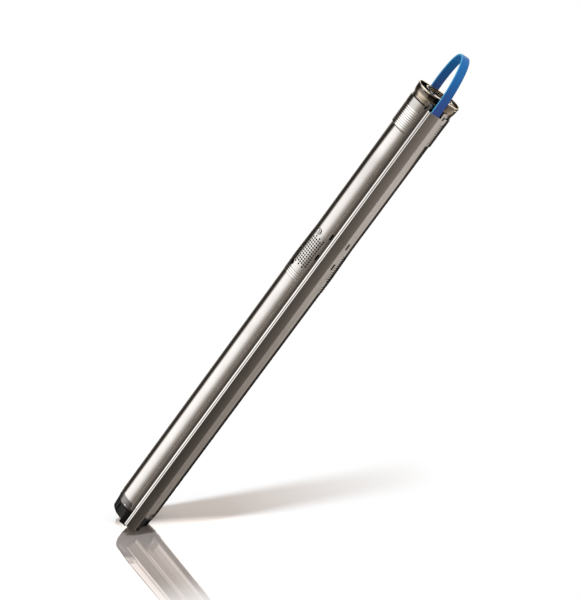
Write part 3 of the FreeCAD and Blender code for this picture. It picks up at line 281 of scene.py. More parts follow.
def border(high, wide):
    """Row and column steps once round a block of cells, without its first corner twice."""
    down = [(row, 0) for row in range(high)]
    right = [(high, column) for column in range(wide)]
    up = [(high - row, wide) for row in range(high)]
    left = [(0, wide - column) for column in range(wide)]
    return np.array(down + right + up + left).T


def sheet(place, across, levels, wall, keep, holes, closed=False):
    """Points and faces of a sheet. Its outer skin is place(u, v, 0), its inner one
    place(u, v, wall), and keep tells which cells have metal. Holes of one kind are given by their
    blocks' first rows and columns, the blocks' height and width, the middles (u, v), the radius,
    the straight half length and how many millimetres one step of u is."""
    number = np.arange(len(levels) * len(across)).reshape(len(levels), -1)
    beyond = number.size
    v, u = np.meshgrid(levels, across, indexing="ij")
    points = [place(u, v, 0), place(u, v, wall)]
    if closed:
        number = np.concatenate([number, number[:, :1]], 1)
        across = np.append(across, across[0] + 360.0)
    count = 2 * beyond
    faces = []
    drilled = np.zeros_like(keep)
    for first_row, first_column, high, wide, middle_u, middle_v, radius, straight, scale in holes:
        for row, column in zip(first_row, first_column):
            drilled[row:row + high, column:column + wide] = True
        row_step, column_step = border(high, wide)
        row = np.array(first_row)[:, None] + row_step
        column = np.array(first_column)[:, None] + column_step
        loop = number[row, column]
        middle_u = np.array(middle_u)[:, None]
        middle_v = np.array(middle_v)[:, None]
        angle = np.arctan2(levels[row] - middle_v, (across[column] - middle_u) * scale)
        reach = slot_reach(angle, radius, straight)
        edge_u = middle_u + reach * np.cos(angle) / scale
        edge_v = middle_v + reach * np.sin(angle)
        points += [place(edge_u, edge_v, 0), place(edge_u, edge_v, wall)]
        edge = count + np.arange(loop.size).reshape(loop.shape)
        back = edge + loop.size
        count += 2 * loop.size
        after = np.roll(np.arange(loop.shape[1]), -1)
        faces += [[loop, loop[:, after], edge[:, after], edge],
                  [loop + beyond, back, back[:, after], loop[:, after] + beyond],
                  [edge, edge[:, after], back[:, after], back]]

    keep = keep & ~drilled
    metal = keep | drilled
    corners = [number[:-1, :-1], number[:-1, 1:], number[1:, 1:], number[1:, :-1]]
    skin = [corner[keep] for corner in corners]
    faces += [skin, [corner + beyond for corner in reversed(skin)]]
    ring = np.pad(metal, 1, mode="wrap" if closed else "constant")
    ring[0] = ring[-1] = False
    beside = [ring[:-2, 1:-1], ring[1:-1, 2:], ring[2:, 1:-1], ring[1:-1, :-2]]
    for side in range(4):
        rim = metal & ~beside[side]
        first = corners[side][rim]
        second = corners[(side + 1) % 4][rim]
        faces.append([second, first, first + beyond, second + beyond])
    return (np.concatenate([point.reshape(-1, 3) for point in points]),
            np.concatenate([np.stack(face, -1).reshape(-1, 4) for face in faces]))


# %% [markdown]
# ## The pump sleeve
# The sleeve is a thin tube. Two rolled threads stiffen it, one under the head and one above the
# motor. Between them it swells over a cone, where rows of small holes let the water in. Its radius
# is a formula of the level and the turn, so that the threads climb as real ones do.

# %% The sleeve's radius
SLEEVE_RADIUS = 33.0
SLEEVE_WALL = 1.1
SLEEVE_TOP = -20.6
SLEEVE_LOW = -349.7
BAND_RADIUS = 34.56
BAND_LOW = -69.2
PLAIN_TOP = -71.2
CONE_TOP = -266.0
CONE_LOW = -322.0
SHOULDER_RADIUS = 34.5
UPPER_THREAD = (-33.0, -68.4, 3.43, 0.42)
LOWER_THREAD = (-337.4, -349.6, 3.5, 0.5)
DOWNWARD = 0.3
THREAD_FADE = 0.8


def eased(value, start, end):
    """Zero before the start, one after the end, and a smooth step between them."""
    share = np.clip((value - start) / (end - start), 0.0, 1.0)
    return share * share * (3 - 2 * share)


def rolled_groove(turn, level, thread):
    """A groove's depth: a cosine wave of the level over the pitch plus a share of the turn, so
    that it climbs. The flank that faces down is short and steep, and the one that faces up is
    long and catches the light. The wave fades out at both ends of the thread."""
    top, low, pitch, depth = thread
    phase = ((top - level) / pitch + turn / 360.0) % 1.0
    share = np.interp(phase, [0.0, DOWNWARD, 1.0], [0.0, 0.5, 1.0])
    wave = 0.5 - 0.5 * np.cos(share * 2 * math.pi)
    starts = eased(-level, -top, THREAD_FADE - top)
    return depth * wave * starts * (1 - eased(-level, -low - THREAD_FADE, -low))


def sleeve_radius(turn, level):
    """The band's radius, the plain tube's below it, then the cone's, less the grooves."""
    band = BAND_RADIUS + (SLEEVE_RADIUS - BAND_RADIUS) * eased(-level, -BAND_LOW, -PLAIN_TOP)
    cone = np.clip((CONE_TOP - level) / (CONE_TOP - CONE_LOW), 0.0, 1.0)
    radius = band + (SHOULDER_RADIUS - SLEEVE_RADIUS) * cone
    radius -= rolled_groove(turn, level, UPPER_THREAD)
    return radius - rolled_groove(turn, level, LOWER_THREAD)


def on_sleeve(turn, level, depth):
    """The point at a turn in degrees from the guard's middle, at a level and a depth."""
    return around_axis(sleeve_radius(turn, level) - depth, level, np.radians(turn))


# %% [markdown]
# The grid's levels are dense only where something happens: in the threads, on the slope and
# round the holes. Each hole of the strainer takes a block of three by three cells. Neighbouring
# columns start one hole apart, which gives the staggered ends seen in the photograph.

# %% The sleeve's grid and its holes
CELLS_AROUND = 156
HOLE_CELLS = 3
HOLE_PITCH = 4.217
HOLE_RADIUS = 1.6
STRAINER_TOP = -272.99
STRAINER_LOW = -327.2
STRAINER_COLUMNS = 43
STRAINER_ROWS = 12
STRAINER_START = 13
CONE_SWELL = 0.8
PRIMING = (-64.0, -267.5, 5.2)
PRIMING_TOP = -260.5
PRIMING_COLUMN = 123
VENT = (-77.0, -331.8, 4.0)
VENT_LOW = -337.2
VENT_COLUMN = 117
SINGLE_WIDE = 10
GROOVE_ROWS = 10

strainer_borders = np.append(STRAINER_TOP - HOLE_PITCH * np.arange(STRAINER_ROWS + 1), STRAINER_LOW)
strainer_levels = np.concatenate([np.linspace(a, b, HOLE_CELLS, endpoint=False)
                                  for a, b in zip(strainer_borders[:-1], strainer_borders[1:])])
sleeve_levels = np.concatenate([
    [SLEEVE_TOP, SLEEVE_TOP - 0.3, -27.0],
    np.arange(UPPER_THREAD[0], UPPER_THREAD[1], -UPPER_THREAD[2] / GROOVE_ROWS),
    np.linspace(BAND_LOW, PLAIN_TOP, 6),
    [-130.0, -190.0, -240.0],
    np.linspace(PRIMING_TOP, STRAINER_TOP, 6, endpoint=False),
    strainer_levels,
    np.linspace(STRAINER_LOW, VENT_LOW, 6),
    np.arange(LOWER_THREAD[0], LOWER_THREAD[1], -LOWER_THREAD[2] / GROOVE_ROWS),
    [LOWER_THREAD[1], SLEEVE_LOW],
])
sleeve_turns = (np.arange(CELLS_AROUND) + 0.5) * 360.0 / CELLS_AROUND


def row_at(levels, level):
    """The number of the grid row that lies nearest to a level."""
    return int(np.abs(levels - level).argmin())


def single_hole(hole, top, low, first_column):
    """The hole's entry for sheet(): its block of cells, middle, radius and scale."""
    turn, level, radius = hole
    first = row_at(sleeve_levels, top)
    high = row_at(sleeve_levels, low) - first
    return ([first], [first_column], high, SINGLE_WIDE, [turn + 360.0], [level], radius, 0.0,
            math.radians(1.0) * SLEEVE_RADIUS)


column = np.repeat(np.arange(STRAINER_COLUMNS), STRAINER_ROWS)
row = np.tile(np.arange(STRAINER_ROWS), STRAINER_COLUMNS) + column % 2
strainer_first = row_at(sleeve_levels, STRAINER_TOP) + HOLE_CELLS * row
strainer_column = STRAINER_START + HOLE_CELLS * column
strainer_middle = sleeve_turns[strainer_column] + HOLE_CELLS / 2 * 360 / CELLS_AROUND
strainer = (strainer_first, strainer_column, HOLE_CELLS, HOLE_CELLS, strainer_middle,
            STRAINER_TOP - HOLE_PITCH * (row + 0.5), HOLE_RADIUS, 0.0,
            math.radians(1.0) * (SLEEVE_RADIUS + CONE_SWELL))
sleeve_holes = [strainer, single_hole(PRIMING, PRIMING_TOP, STRAINER_TOP, PRIMING_COLUMN),
                single_hole(VENT, STRAINER_LOW, VENT_LOW, VENT_COLUMN)]
sleeve_keep = np.ones((len(sleeve_levels) - 1, CELLS_AROUND), bool)
sleeve_points, sleeve_faces = sheet(on_sleeve, sleeve_turns, sleeve_levels, SLEEVE_WALL,
                                    sleeve_keep, sleeve_holes, closed=True)
print("strainer holes", len(row))

# %% [markdown]
# Two small lugs on the sleeve stand up through the guard's lower slots and hold it. They are
# part of the sleeve's own piece, as they are welded to it.

# %% The guard's lugs and the finished sleeve
LUG_TURN = 24.5
LUG_SIZE = (2.0, 2.6, 6.0)
LUG_MIDDLE = (34.0, -299.1)


def lug(turn):
    """A block's eight corners, moved out to its radius and turned round the axis."""
    signs = np.array(np.meshgrid([-1, 1], [-1, 1], [-1, 1], indexing="ij")).reshape(3, 8)
    across, out, up = signs * np.array(LUG_SIZE)[:, None] / 2
    radius, level = LUG_MIDDLE
    angle = math.radians(turn)
    out = out + radius
    return np.stack([out * math.sin(angle) + across * math.cos(angle),
                     -out * math.cos(angle) + across * math.sin(angle), up + level], -1)


LUG_FACES = np.array([(0, 1, 3, 2), (4, 6, 7, 5), (0, 4, 5, 1), (2, 3, 7, 6), (0, 2, 6, 4),
                      (1, 5, 7, 3)])
start = len(sleeve_points)
sleeve_points = np.concatenate([sleeve_points, lug(LUG_TURN), lug(-LUG_TURN)])
sleeve_faces = np.concatenate([sleeve_faces, LUG_FACES + start, LUG_FACES + start + 8])
pump_sleeve = piece_from("pierced_sleeve", sleeve_points, sleeve_faces.tolist(),
                         "stainless_steel", sharp=50.0)
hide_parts("pump_sleeve")

# %% [markdown]
# ## The cable guard
# The guard is one strip of sheet, bent into a hat: a wing that lies round the tube, a root bend,
# a leaning side, a corner bend and the flat. Its outline is walked from the middle of the flat
# outwards, and the heading is what the bends so far add up to. The side leans by thirty degrees,
# which makes the two bends catch the light as two thin lines. A painted shade stripe halfway up the
# side, in the guard's finish, keeps the two lines apart. The flat is a little crowned, as
# pressed strip is, so its shade changes from one edge to the other.

# %% The guard's outline
GUARD_REACH = 39.6
GUARD_WALL = 0.8
GUARD_LEAN = 30.0
GUARD_HALF = 8.0
WING_RADIUS = 35.71
WING_TIP = 31.5
CORNER_BEND = 1.5
ROOT_BEND = 1.5
CROWN = 0.22
BEND_STEPS = 9
CROWN_STEPS = 6

lean = math.radians(GUARD_LEAN)
side_x = GUARD_HALF + ROOT_BEND * math.cos(lean)
side_y = -GUARD_REACH - ROOT_BEND * math.sin(lean)
drop = side_x * math.sin(lean) + side_y * math.cos(lean)
gain = drop ** 2 - side_x ** 2 - side_y ** 2 + (WING_RADIUS + ROOT_BEND) ** 2
slide = -drop - math.sqrt(gain)
root_x = side_x + slide * math.sin(lean)
root_y = side_y + slide * math.cos(lean)
root_turn = math.atan2(root_x, -root_y)
steep = math.pi / 2 - lean
flat_half = GUARD_HALF - CORNER_BEND * math.tan(steep / 2)

crown_turn = 2 * CROWN / flat_half
corner_turns = np.linspace(crown_turn, steep, BEND_STEPS)
root_turns = np.linspace(steep, root_turn, BEND_STEPS)
wing_turns = np.append(root_turn, np.radians([
    21.8, 22.7, 23.6, 24.5, 25.4, 26.3, 27.2, 28.0, 28.8, 29.7, 30.6, WING_TIP]))
corner_x = flat_half + CROWN * math.cos(steep) + CORNER_BEND * np.sin(corner_turns)
corner_y = -GUARD_REACH + CROWN * math.sin(steep) + CORNER_BEND * (1 - np.cos(corner_turns))
crown_share = np.linspace(0.0, 1.0, CROWN_STEPS)[:-1]
crown_x = corner_x[0] * crown_share
crown_y = -GUARD_REACH + (corner_y[0] + GUARD_REACH) * crown_share ** 2
bend_x = root_x - ROOT_BEND * np.sin(root_turns)
bend_y = root_y + ROOT_BEND * np.cos(root_turns)
wing_x = WING_RADIUS * np.sin(wing_turns)
wing_y = -WING_RADIUS * np.cos(wing_turns)
half = np.concatenate([
    [crown_x, crown_y, crown_turn * crown_share], [corner_x, corner_y, corner_turns],
    [bend_x, bend_y, root_turns], [wing_x[1:], wing_y[1:], wing_turns[1:]],
], axis=1)
mirrored = half[:, :0:-1] * [[-1], [1], [-1]]
line_x, line_y, line_heading = np.concatenate([mirrored, half], axis=1)
line_at = np.concatenate([[0.0], np.cumsum(np.hypot(np.diff(line_x), np.diff(line_y)))])
line_at -= line_at[-1] / 2
print("guard's strip", round(line_at[-1] * 2, 1), "mm wide")


def on_guard(along, level, depth):
    """The point at a distance along the strip's outline, a level and a depth below the skin."""
    heading = np.interp(along, line_at, line_heading)
    x = np.interp(along, line_at, line_x) - depth * np.sin(heading)
    y = np.interp(along, line_at, line_y) + depth * np.cos(heading)
    return np.stack([x, y, level + np.zeros_like(x)], -1)


# %% [markdown]
# Its top ends in two hook tabs beside the head, and its lower end is stepped: first the wings'
# tips stop, then the wings, and the channel goes on over the cable's plug. Its four slots let water
# in, and the lower two also take the sleeve's lugs. Each tab has a slot of its own.

# %% The guard's ends, slots and mesh
TAB_TOP = -13.0
GUARD_TOP = -21.6
STEP_TOP = -810.5
WINGS_LOW = -818.5
GUARD_LOW = -845.0
TIP_FROM = 28.0
TAB_LINES = 3
SLOT_RADIUS = 1.5
TAB_SLOT = (26.8, -20.8, 2.0)
UPPER_SLOT = (24.5, -260.7, 4.1)
LOWER_SLOT = (24.5, -299.1, 4.1)
TAB_ROWS = (-15.2, -26.0)
UPPER_ROWS = (-253.1, -268.3)
LOWER_ROWS = (-291.5, -306.7)
SLOT_STEPS = 11
CRISP = 40.0

guard_levels = np.concatenate([
    [TAB_TOP], np.linspace(TAB_ROWS[0], GUARD_TOP, 4), [-23.8, TAB_ROWS[1], -90.0, -170.0],
    np.linspace(*UPPER_ROWS, SLOT_STEPS), [-280.0], np.linspace(*LOWER_ROWS, SLOT_STEPS),
    [-400.0, -500.0, -600.0, -700.0, STEP_TOP, WINGS_LOW, GUARD_LOW],
])
last = len(line_at) - 1
root_line = last - len(wing_turns) + 1
guard_keep = np.ones((len(guard_levels) - 1, last), bool)
cell_turn = np.degrees(np.abs((line_heading[:-1] + line_heading[1:]) / 2))
cell_middle = np.abs((line_at[:-1] + line_at[1:]) / 2)
foot_at = line_at[root_line - BEND_STEPS + 1]
tab_at = line_at[root_line - TAB_LINES]
guard_keep[:row_at(guard_levels, GUARD_TOP), cell_middle < tab_at] = False
guard_keep[row_at(guard_levels, WINGS_LOW):, cell_middle > foot_at] = False
tips = (cell_middle > foot_at) & (cell_turn > TIP_FROM)
guard_keep[row_at(guard_levels, STEP_TOP):, tips] = False


def wing_slot(slot, rows, outer, inner):
    """Entries for the same slot on both wings, from its block's levels and its wing lines."""
    turn, level, straight = slot
    first = row_at(guard_levels, rows[0])
    high = row_at(guard_levels, rows[1]) - first
    middle = line_at[root_line] + WING_RADIUS * (math.radians(turn) - root_turn)
    return ([first, first], [root_line + inner, last - root_line - outer], high, outer - inner,
            [middle, -middle], [level, level], SLOT_RADIUS, straight, 1.0)


guard_slots = [wing_slot(TAB_SLOT, TAB_ROWS, 10, 3), wing_slot(UPPER_SLOT, UPPER_ROWS, 7, 1),
               wing_slot(LOWER_SLOT, LOWER_ROWS, 7, 1)]
guard_points, guard_faces = sheet(on_guard, line_at, guard_levels, GUARD_WALL, guard_keep,
                                  guard_slots)
cable_guard = piece_from("bent_guard", guard_points, guard_faces.tolist(), "guard_steel",
                         sharp=CRISP)
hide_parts("cable_guard")


def rounded(piece, width, steps=2):
    """Gives the piece's crisp edges a small round, in millimetres."""
    bevel = piece.modifiers.new("edges", "BEVEL")
    bevel.width = width * MM
    bevel.segments = steps
    bevel.limit_method = "ANGLE"
    bevel.angle_limit = math.radians(CRISP)
    bevel.harden_normals = True
    return piece


rounded(cable_guard, 0.15)

# %% [markdown]
# ## The cast and moulded pieces
# The head, the cap, the ring and the screws have the right form as solids, but their edges are
# sharp. A merged copy of each gets a small round along its edges, because a real edge always catches
# a line of light.

# %% Rounded copies of the solids
COPY_MERGE = 0.003
COPY_FLAT = 0.6
COPY_SHARP = 32.0


def merged_copy(node):
    """The node's mesh with its loose triangles joined and flat stretches made one face."""
    mesh = frame["nodes"][node].data.copy()
    mesh.materials.clear()
    work = bmesh.new()
    work.from_mesh(mesh)
    bmesh.ops.remove_doubles(work, verts=work.verts, dist=COPY_MERGE * MM)
    bmesh.ops.dissolve_limit(work, angle_limit=math.radians(COPY_FLAT), verts=work.verts,
                             edges=work.edges)
    work.to_mesh(mesh)
    work.free()
    return mesh


def copied(node, name, slot):
    """A piece in the node's place, made from the node's own mesh."""
    piece = dressed(name, merged_copy(node), slot, COPY_SHARP)
    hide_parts(node)
    return piece


end_cap = rounded(copied("end_cap", "moulded_cap", "black_plastic"), 0.45)
rounded(copied("ring_screws", "cap_screws", "machined_steel"), 0.3)
rounded(copied("priming_screw", "slotted_priming_screw", "machined_steel"), 0.4, 3)
rounded(copied("end_ring", "turned_end_ring", "grey_ring"), 0.25)

# %% [markdown]
# The valve's spring is a merged copy of its solid, with a mesh of its own. In the pump it gets
# shorter as the valve opens: its upper end stays where it is, and its lower end rises with the
# poppet.
# Nothing in this script moves it.

# %% The valve's spring
valve_spring = copied("valve_spring", "coiled_spring", "spring_steel")
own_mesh(valve_spring)

# %% [markdown]
# ## The discharge head and its thread
# The head's mouth has a pipe thread. A thread is a ridge that climbs round the bore, so its
# radius is a triangle wave of the level plus a share of the turn. The head's bore is widened to
# make room for it, and the threaded ring fills that room.

# %% The head and the thread inside its mouth
THREAD_CREST = 19.5
THREAD_ROOT = 20.95
THREAD_BACK = 21.3
THREAD_PITCH = 2.309
THREAD_TOP = -0.25
THREAD_LOW = -20.0
THREAD_ROWS = 70
THREAD_AROUND = 96
BORE_LOW = -20.5
BORE_WITHIN = 0.02

head_mesh = merged_copy("discharge_head")
head_points = points_of(head_mesh)
reach = np.hypot(head_points[:, 0], head_points[:, 1])
in_bore = np.abs(reach - THREAD_CREST * MM) < BORE_WITHIN * MM
in_bore &= head_points[:, 2] > BORE_LOW * MM
head_points[in_bore, :2] *= (THREAD_BACK * MM / reach[in_bore])[:, None]
head_mesh.vertices.foreach_set("co", head_points.ravel())
head_mesh.update()
print("bore points moved", int(in_bore.sum()))
discharge_head = dressed("cast_head", head_mesh, "cast_stainless", COPY_SHARP)
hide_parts("discharge_head")
rounded(discharge_head, 0.5)

# Rows go down the thread and back up behind it.
angle = np.arange(THREAD_AROUND) * 2 * math.pi / THREAD_AROUND
level = np.append(np.linspace(THREAD_TOP, THREAD_LOW, THREAD_ROWS), [THREAD_LOW, THREAD_TOP])
phase = (level[:, None] / THREAD_PITCH + angle / (2 * math.pi)) % 1.0
radius = THREAD_CREST + (THREAD_ROOT - THREAD_CREST) * np.abs(2 * phase - 1)
radius[-2:] = THREAD_BACK
mouth_thread = turned("mouth_thread", radius, level, angle, "cast_stainless")

# %% [markdown]
# ## Shader maths as Python
# A finish is a small formula of the place on the piece. To write it as one, a class wraps a
# socket and turns Python's operators into Math nodes, and one method adds any other node.

# %% A socket with operators, and a builder of node trees
class Value:
    """A socket in a formula. Arithmetic on it adds Math nodes to its tree."""

    def __init__(self, finish, socket):
        self.finish = finish
        self.socket = socket

    def math(self, operation, first, second=0.0):
        return self.finish.add("ShaderNodeMath", {"operation": operation}, {0: first, 1: second})

    def __add__(self, other):
        return self.math("ADD", self, other)

    def __sub__(self, other):
        return self.math("SUBTRACT", self, other)

    def __rsub__(self, other):
        return self.math("SUBTRACT", other, self)

    def __mul__(self, other):
        return self.math("MULTIPLY", self, other)

    def __truediv__(self, other):
        return self.math("DIVIDE", self, other)

    __radd__ = __add__

    def rising(self, limits, unit=1.0, kind="SMOOTHSTEP"):
        """Zero before the first limit, one after the second, and smooth between them."""
        return self.finish.add("ShaderNodeMapRange", {"interpolation_type": kind}, {
            "Value": self, "From Min": limits[0] * unit, "From Max": limits[1] * unit})

    def axes(self):
        """The three axes of a place, each as a value."""
        parts = self.finish.add("ShaderNodeSeparateXYZ", {}, {"Vector": self}).socket.node
        return [Value(self.finish, output) for output in parts.outputs]


class Finish:
    """A node tree in the making."""

    def __init__(self, tree):
        self.tree = tree

    def add(self, kind, settings=(), sockets=(), output=0):
        """Adds a node of a type. Its settings come first, then the values or links of its
        sockets. It gives back one of the node's outputs, by number or by name."""
        node = self.tree.nodes.new(kind)
        for name, setting in dict(settings).items():
            if name == "stops":
                place_stops(node.color_ramp, setting)
            else:
                setattr(node, name, setting)
        for name, value in dict(sockets).items():
            if isinstance(value, Value):
                self.tree.links.new(value.socket, node.inputs[name])
            else:
                node.inputs[name].default_value = value
        return Value(self, node.outputs[output]) if node.outputs else node

    def mixed(self, share, first, second):
        """A colour between two colours. A Mix node's colours are its sockets 6, 7 and 2."""
        return self.add("ShaderNodeMix", {"data_type": "RGBA"}, {0: share, 6: first, 7: second}, 2)

    def scaled(self, colour, factor):
        """A colour made brighter or darker by a factor."""
        return self.add("ShaderNodeVectorMath", {"operation": "SCALE"}, {0: colour, "Scale": factor})

    def ramp(self, value, stops):
        """A grey that follows stops of (position, grey) along a value."""
        return self.add("ShaderNodeValToRGB", {"stops": stops}, {"Fac": value})

    def noise(self, place, scale, detail=3.0, rough=0.55):
        """Smooth noise from 0 to 1 round the place."""
        return self.add("ShaderNodeTexNoise", {}, {"Vector": place, "Scale": scale,
                                                   "Detail": detail, "Roughness": rough}, "Fac")


def place_stops(ramp, stops):
    """Gives a new ramp stops at these rising positions, each with its grey."""
    ramp.elements.remove(ramp.elements[-1])
    ramp.elements[0].position = stops[0][0]
    for position, grey in stops[1:]:
        ramp.elements.new(position)
    for stop, (position, grey) in zip(ramp.elements, stops):
        stop.color = (grey, grey, grey, 1.0)


# %% [markdown]
# ## A base for every finish
# Each material starts as a plain principled shader. The constants go straight onto its sockets,
# and only what changes over the surface is linked.

# %% The start of a material
def new_finish(name, colour, metallic, roughness, **constants):
    """A material with a principled shader, its finish and the place on the piece, in metres."""
    material = bpy.data.materials.new(name)
    material.use_nodes = True
    shader = material.node_tree.nodes["Principled BSDF"]
    values = {"Base Color": (*colour, 1.0), "Metallic": metallic, "Roughness": roughness}
    for socket, value in {**values, **constants}.items():
        shader.inputs[socket].default_value = value
    finish = Finish(material.node_tree)
    place = finish.add("ShaderNodeTexCoord", output="Object")
    return material, shader, finish, place


def link(shader, socket, value):
    """Feeds a socket of the shader."""
    shader.id_data.links.new(value.socket, shader.inputs[socket])


def stretched(place, scale):
    """The place with its three axes stretched apart, for streaks and brush lines."""
    return place.finish.add("ShaderNodeMapping", {}, {"Vector": place, "Scale": scale})


# %% [markdown]
# ## Metal
# Stainless tube is ground round the tube, so its brush lines run around it, while the guard's
# strip is rolled along its length. Both have faint clouds from handling and pickling. The same
# function makes all metals, with other lines, clouds and roughness.

# %% How a metal is made
AROUND_LINES = (25.0, 25.0, 2600.0)
ALONG_LINES = (1400.0, 1400.0, 6.0)
NO_LINES = (300.0, 300.0, 300.0)
# The dark grey that painted shade goes towards.
PAINTED_SHADE_COLOUR = (0.012, 0.011, 0.01, 1.0)
CLOUD_START = 0.3
CLOUD_CONTRAST = 2.2
CLOUD_ROUGH = 0.04
GRIT_SHARE = 2.0
METAL_RELIEF = 0.0002


def metal(name, colour, roughness, lines, line_rough=0.05, cloud=30.0, cloud_shade=0.12,
          relief=0.012, grit=0.0, painted_light=None):
    """Brush lines change the roughness and raise the surface, and clouds shade the colour. A
    painted-light function gives the share of the colour left at a place; the rest is painted shade."""
    material, shader, finish, place = new_finish(name, colour, 1.0, roughness)
    brushed = finish.noise(stretched(place, lines), 1.0, 4.0, 0.65)
    clouds = finish.noise(place, cloud)
    dark = tuple(channel * (1 - cloud_shade) for channel in colour)
    shade = finish.mixed((clouds - CLOUD_START) * CLOUD_CONTRAST, (*dark, 1.0), (*colour, 1.0))
    if painted_light:
        # Painted shade and highlights: the colour goes towards the dark grey where the share is low.
        shade = finish.mixed(painted_light(place), PAINTED_SHADE_COLOUR, shade)
    link(shader, "Base Color", shade)
    link(shader, "Roughness", roughness + (brushed - 0.5) * line_rough
         + (clouds - 0.5) * CLOUD_ROUGH)
    height = brushed + finish.noise(place, grit, 2.0) * GRIT_SHARE if grit else brushed
    link(shader, "Normal", finish.add("ShaderNodeBump", {}, {
        "Strength": relief, "Distance": METAL_RELIEF, "Height": height}))
    return material


# %% [markdown]
# ## Painted shade and highlights
# The photograph has dark marks that the light here doesn't make: the seam under the head, its
# pockets, the line under its lip, and a stripe along the guard's side. So they are painted shade:
# the finish darkens with the place, also under the guard, inside the sleeve and in the thread's
# roots, and the head's rim, bulge and right lobe stay bright as painted highlights. A list of shades
# gives the share of the colour that is left at each level or depth.

# %% Painted shade that follows the place
# Painted shade: under the guard (degrees from its middle), on the sleeve's inside and above the
# motor tube (mm).
UNDER_GUARD_SHADE = (30.0, 31.0)
SKIN_START = 0.1
SKIN_FULL = 0.6
MOTOR_FULL = 0.3
# The head's painted light: painted shade in its pockets, painted shade and a painted highlight on
# the bulge by level, a painted shadow under the lip and at the seam, a painted highlight on the rim.
HEAD_POCKET_SHADE = (29.0, 30.5)
HEAD_FOOT = -20.0
HEAD_PAINTED_SHADES = [(-20.0, 0.3), (-17.0, 0.5), (-15.0, 0.72), (-11.0, 0.72), (-8.5, 0.25),
               (-5.0, 0.2), (-4.6, 0.03), (-2.6, 0.03), (-2.2, 0.6), (-1.2, 0.8)]
RIGHT_LOBE = (6.0, 14.0)
RIGHT_LOBE_PAINTED_LIGHT = 0.8
RIM_PAINTED_HIGHLIGHT = (-1.5, -0.8)
SEAM_PAINTED_SHADOW = (0.8, 1.2)
# Painted shade across the guard's side, by the distance in front of the axis.
SIDE_START = -40.0
SIDE_SPAN = 10.0
SIDE_PAINTED_SHADES = [(-39.2, 1.0), (-38.8, 0.75), (-37.8, 0.75), (-37.4, 0.08), (-36.4, 0.08),
               (-36.0, 0.75), (-34.8, 0.75), (-34.4, 1.0)]
# Painted shade down the bore and in the thread's roots.
THREAD_DEPTH_SHADE = (-10.0, -3.0)
CREST_TO_ROOT_SHADE = (20.2, 19.6)


def shade_along(value, shades, start, span):
    """The share that the shades give along a value, on a ramp from the start over the span."""
    stops = [((level - start) / span, share) for level, share in shades]
    return value.finish.ramp(value / (span * MM) - start / span, stops)


def from_axis(x, y):
    """The distance from the pump's axis."""
    return x.math("SQRT", x * x + y * y)


def tube_painted_shade(place):
    """The tube keeps its colour outside, and gets painted shade where the guard covers it and on the
    sleeve's inside. The strainer's cone adds to the radius at which its inside starts."""
    x, y, z = place.axes()
    aside = x.math("ABSOLUTE", x.math("ARCTAN2", x, 0.0 - y))
    cone = z.rising((CONE_TOP, CONE_LOW), MM, "LINEAR") * (SHOULDER_RADIUS - SLEEVE_RADIUS) * MM
    inner = SLEEVE_RADIUS - SLEEVE_WALL
    skin = (inner + SKIN_START, inner + SKIN_FULL)
    outside = (from_axis(x, y) - cone).rising(skin, MM)
    motor = (0.0 - z).rising((-SLEEVE_LOW, -SLEEVE_LOW + MOTOR_FULL), MM)
    outside = outside.math("MAXIMUM", outside, motor)
    return outside * aside.rising(UNDER_GUARD_SHADE, math.radians(1.0))


def head_painted_light(place):
    """The head gets painted shade, near black, in its pockets near the axis. Outside them it follows
    the painted shades by level, given back mostly on its right lobe as painted light. Its rim stays
    bright as a painted highlight, and a painted shadow at the seam parts it from the sleeve."""
    x, y, z = place.axes()
    level = shade_along(z, HEAD_PAINTED_SHADES, HEAD_FOOT, -HEAD_FOOT)
    painted_lift = (1.0 - level) * x.rising(RIGHT_LOBE, MM) * RIGHT_LOBE_PAINTED_LIGHT
    outside = from_axis(x, y).rising(HEAD_POCKET_SHADE, MM) * (level + painted_lift)
    seam_shadow = z.math("ABSOLUTE", z - HEAD_FOOT * MM).rising(SEAM_PAINTED_SHADOW, MM)
    return outside.math("MAXIMUM", outside, z.rising(RIM_PAINTED_HIGHLIGHT, MM)) * seam_shadow


def guard_side_painted_shade(place):
    """The guard's leaning sides get painted shade, darker than their bends, most of all halfway up.
    """
    x, y, z = place.axes()
    return shade_along(y, SIDE_PAINTED_SHADES, SIDE_START, SIDE_SPAN)


def thread_painted_shade(place):
    """The thread keeps its colour on its crests near the rim, a painted highlight. Its roots and the
    bore further down get painted shade.
    """
    x, y, z = place.axes()
    return z.rising(THREAD_DEPTH_SHADE, MM) * from_axis(x, y).rising(CREST_TO_ROOT_SHADE, MM)


# %% [markdown]
# A casting has broad, strong clouds and a gritty skin. The head is polished and the castings inside
# the pump aren't, so the head has a colour and a roughness of its own.

# %% Metal finishes
CASTING = {"cloud": 60.0, "cloud_shade": 0.3, "relief": 0.01, "grit": 250.0}

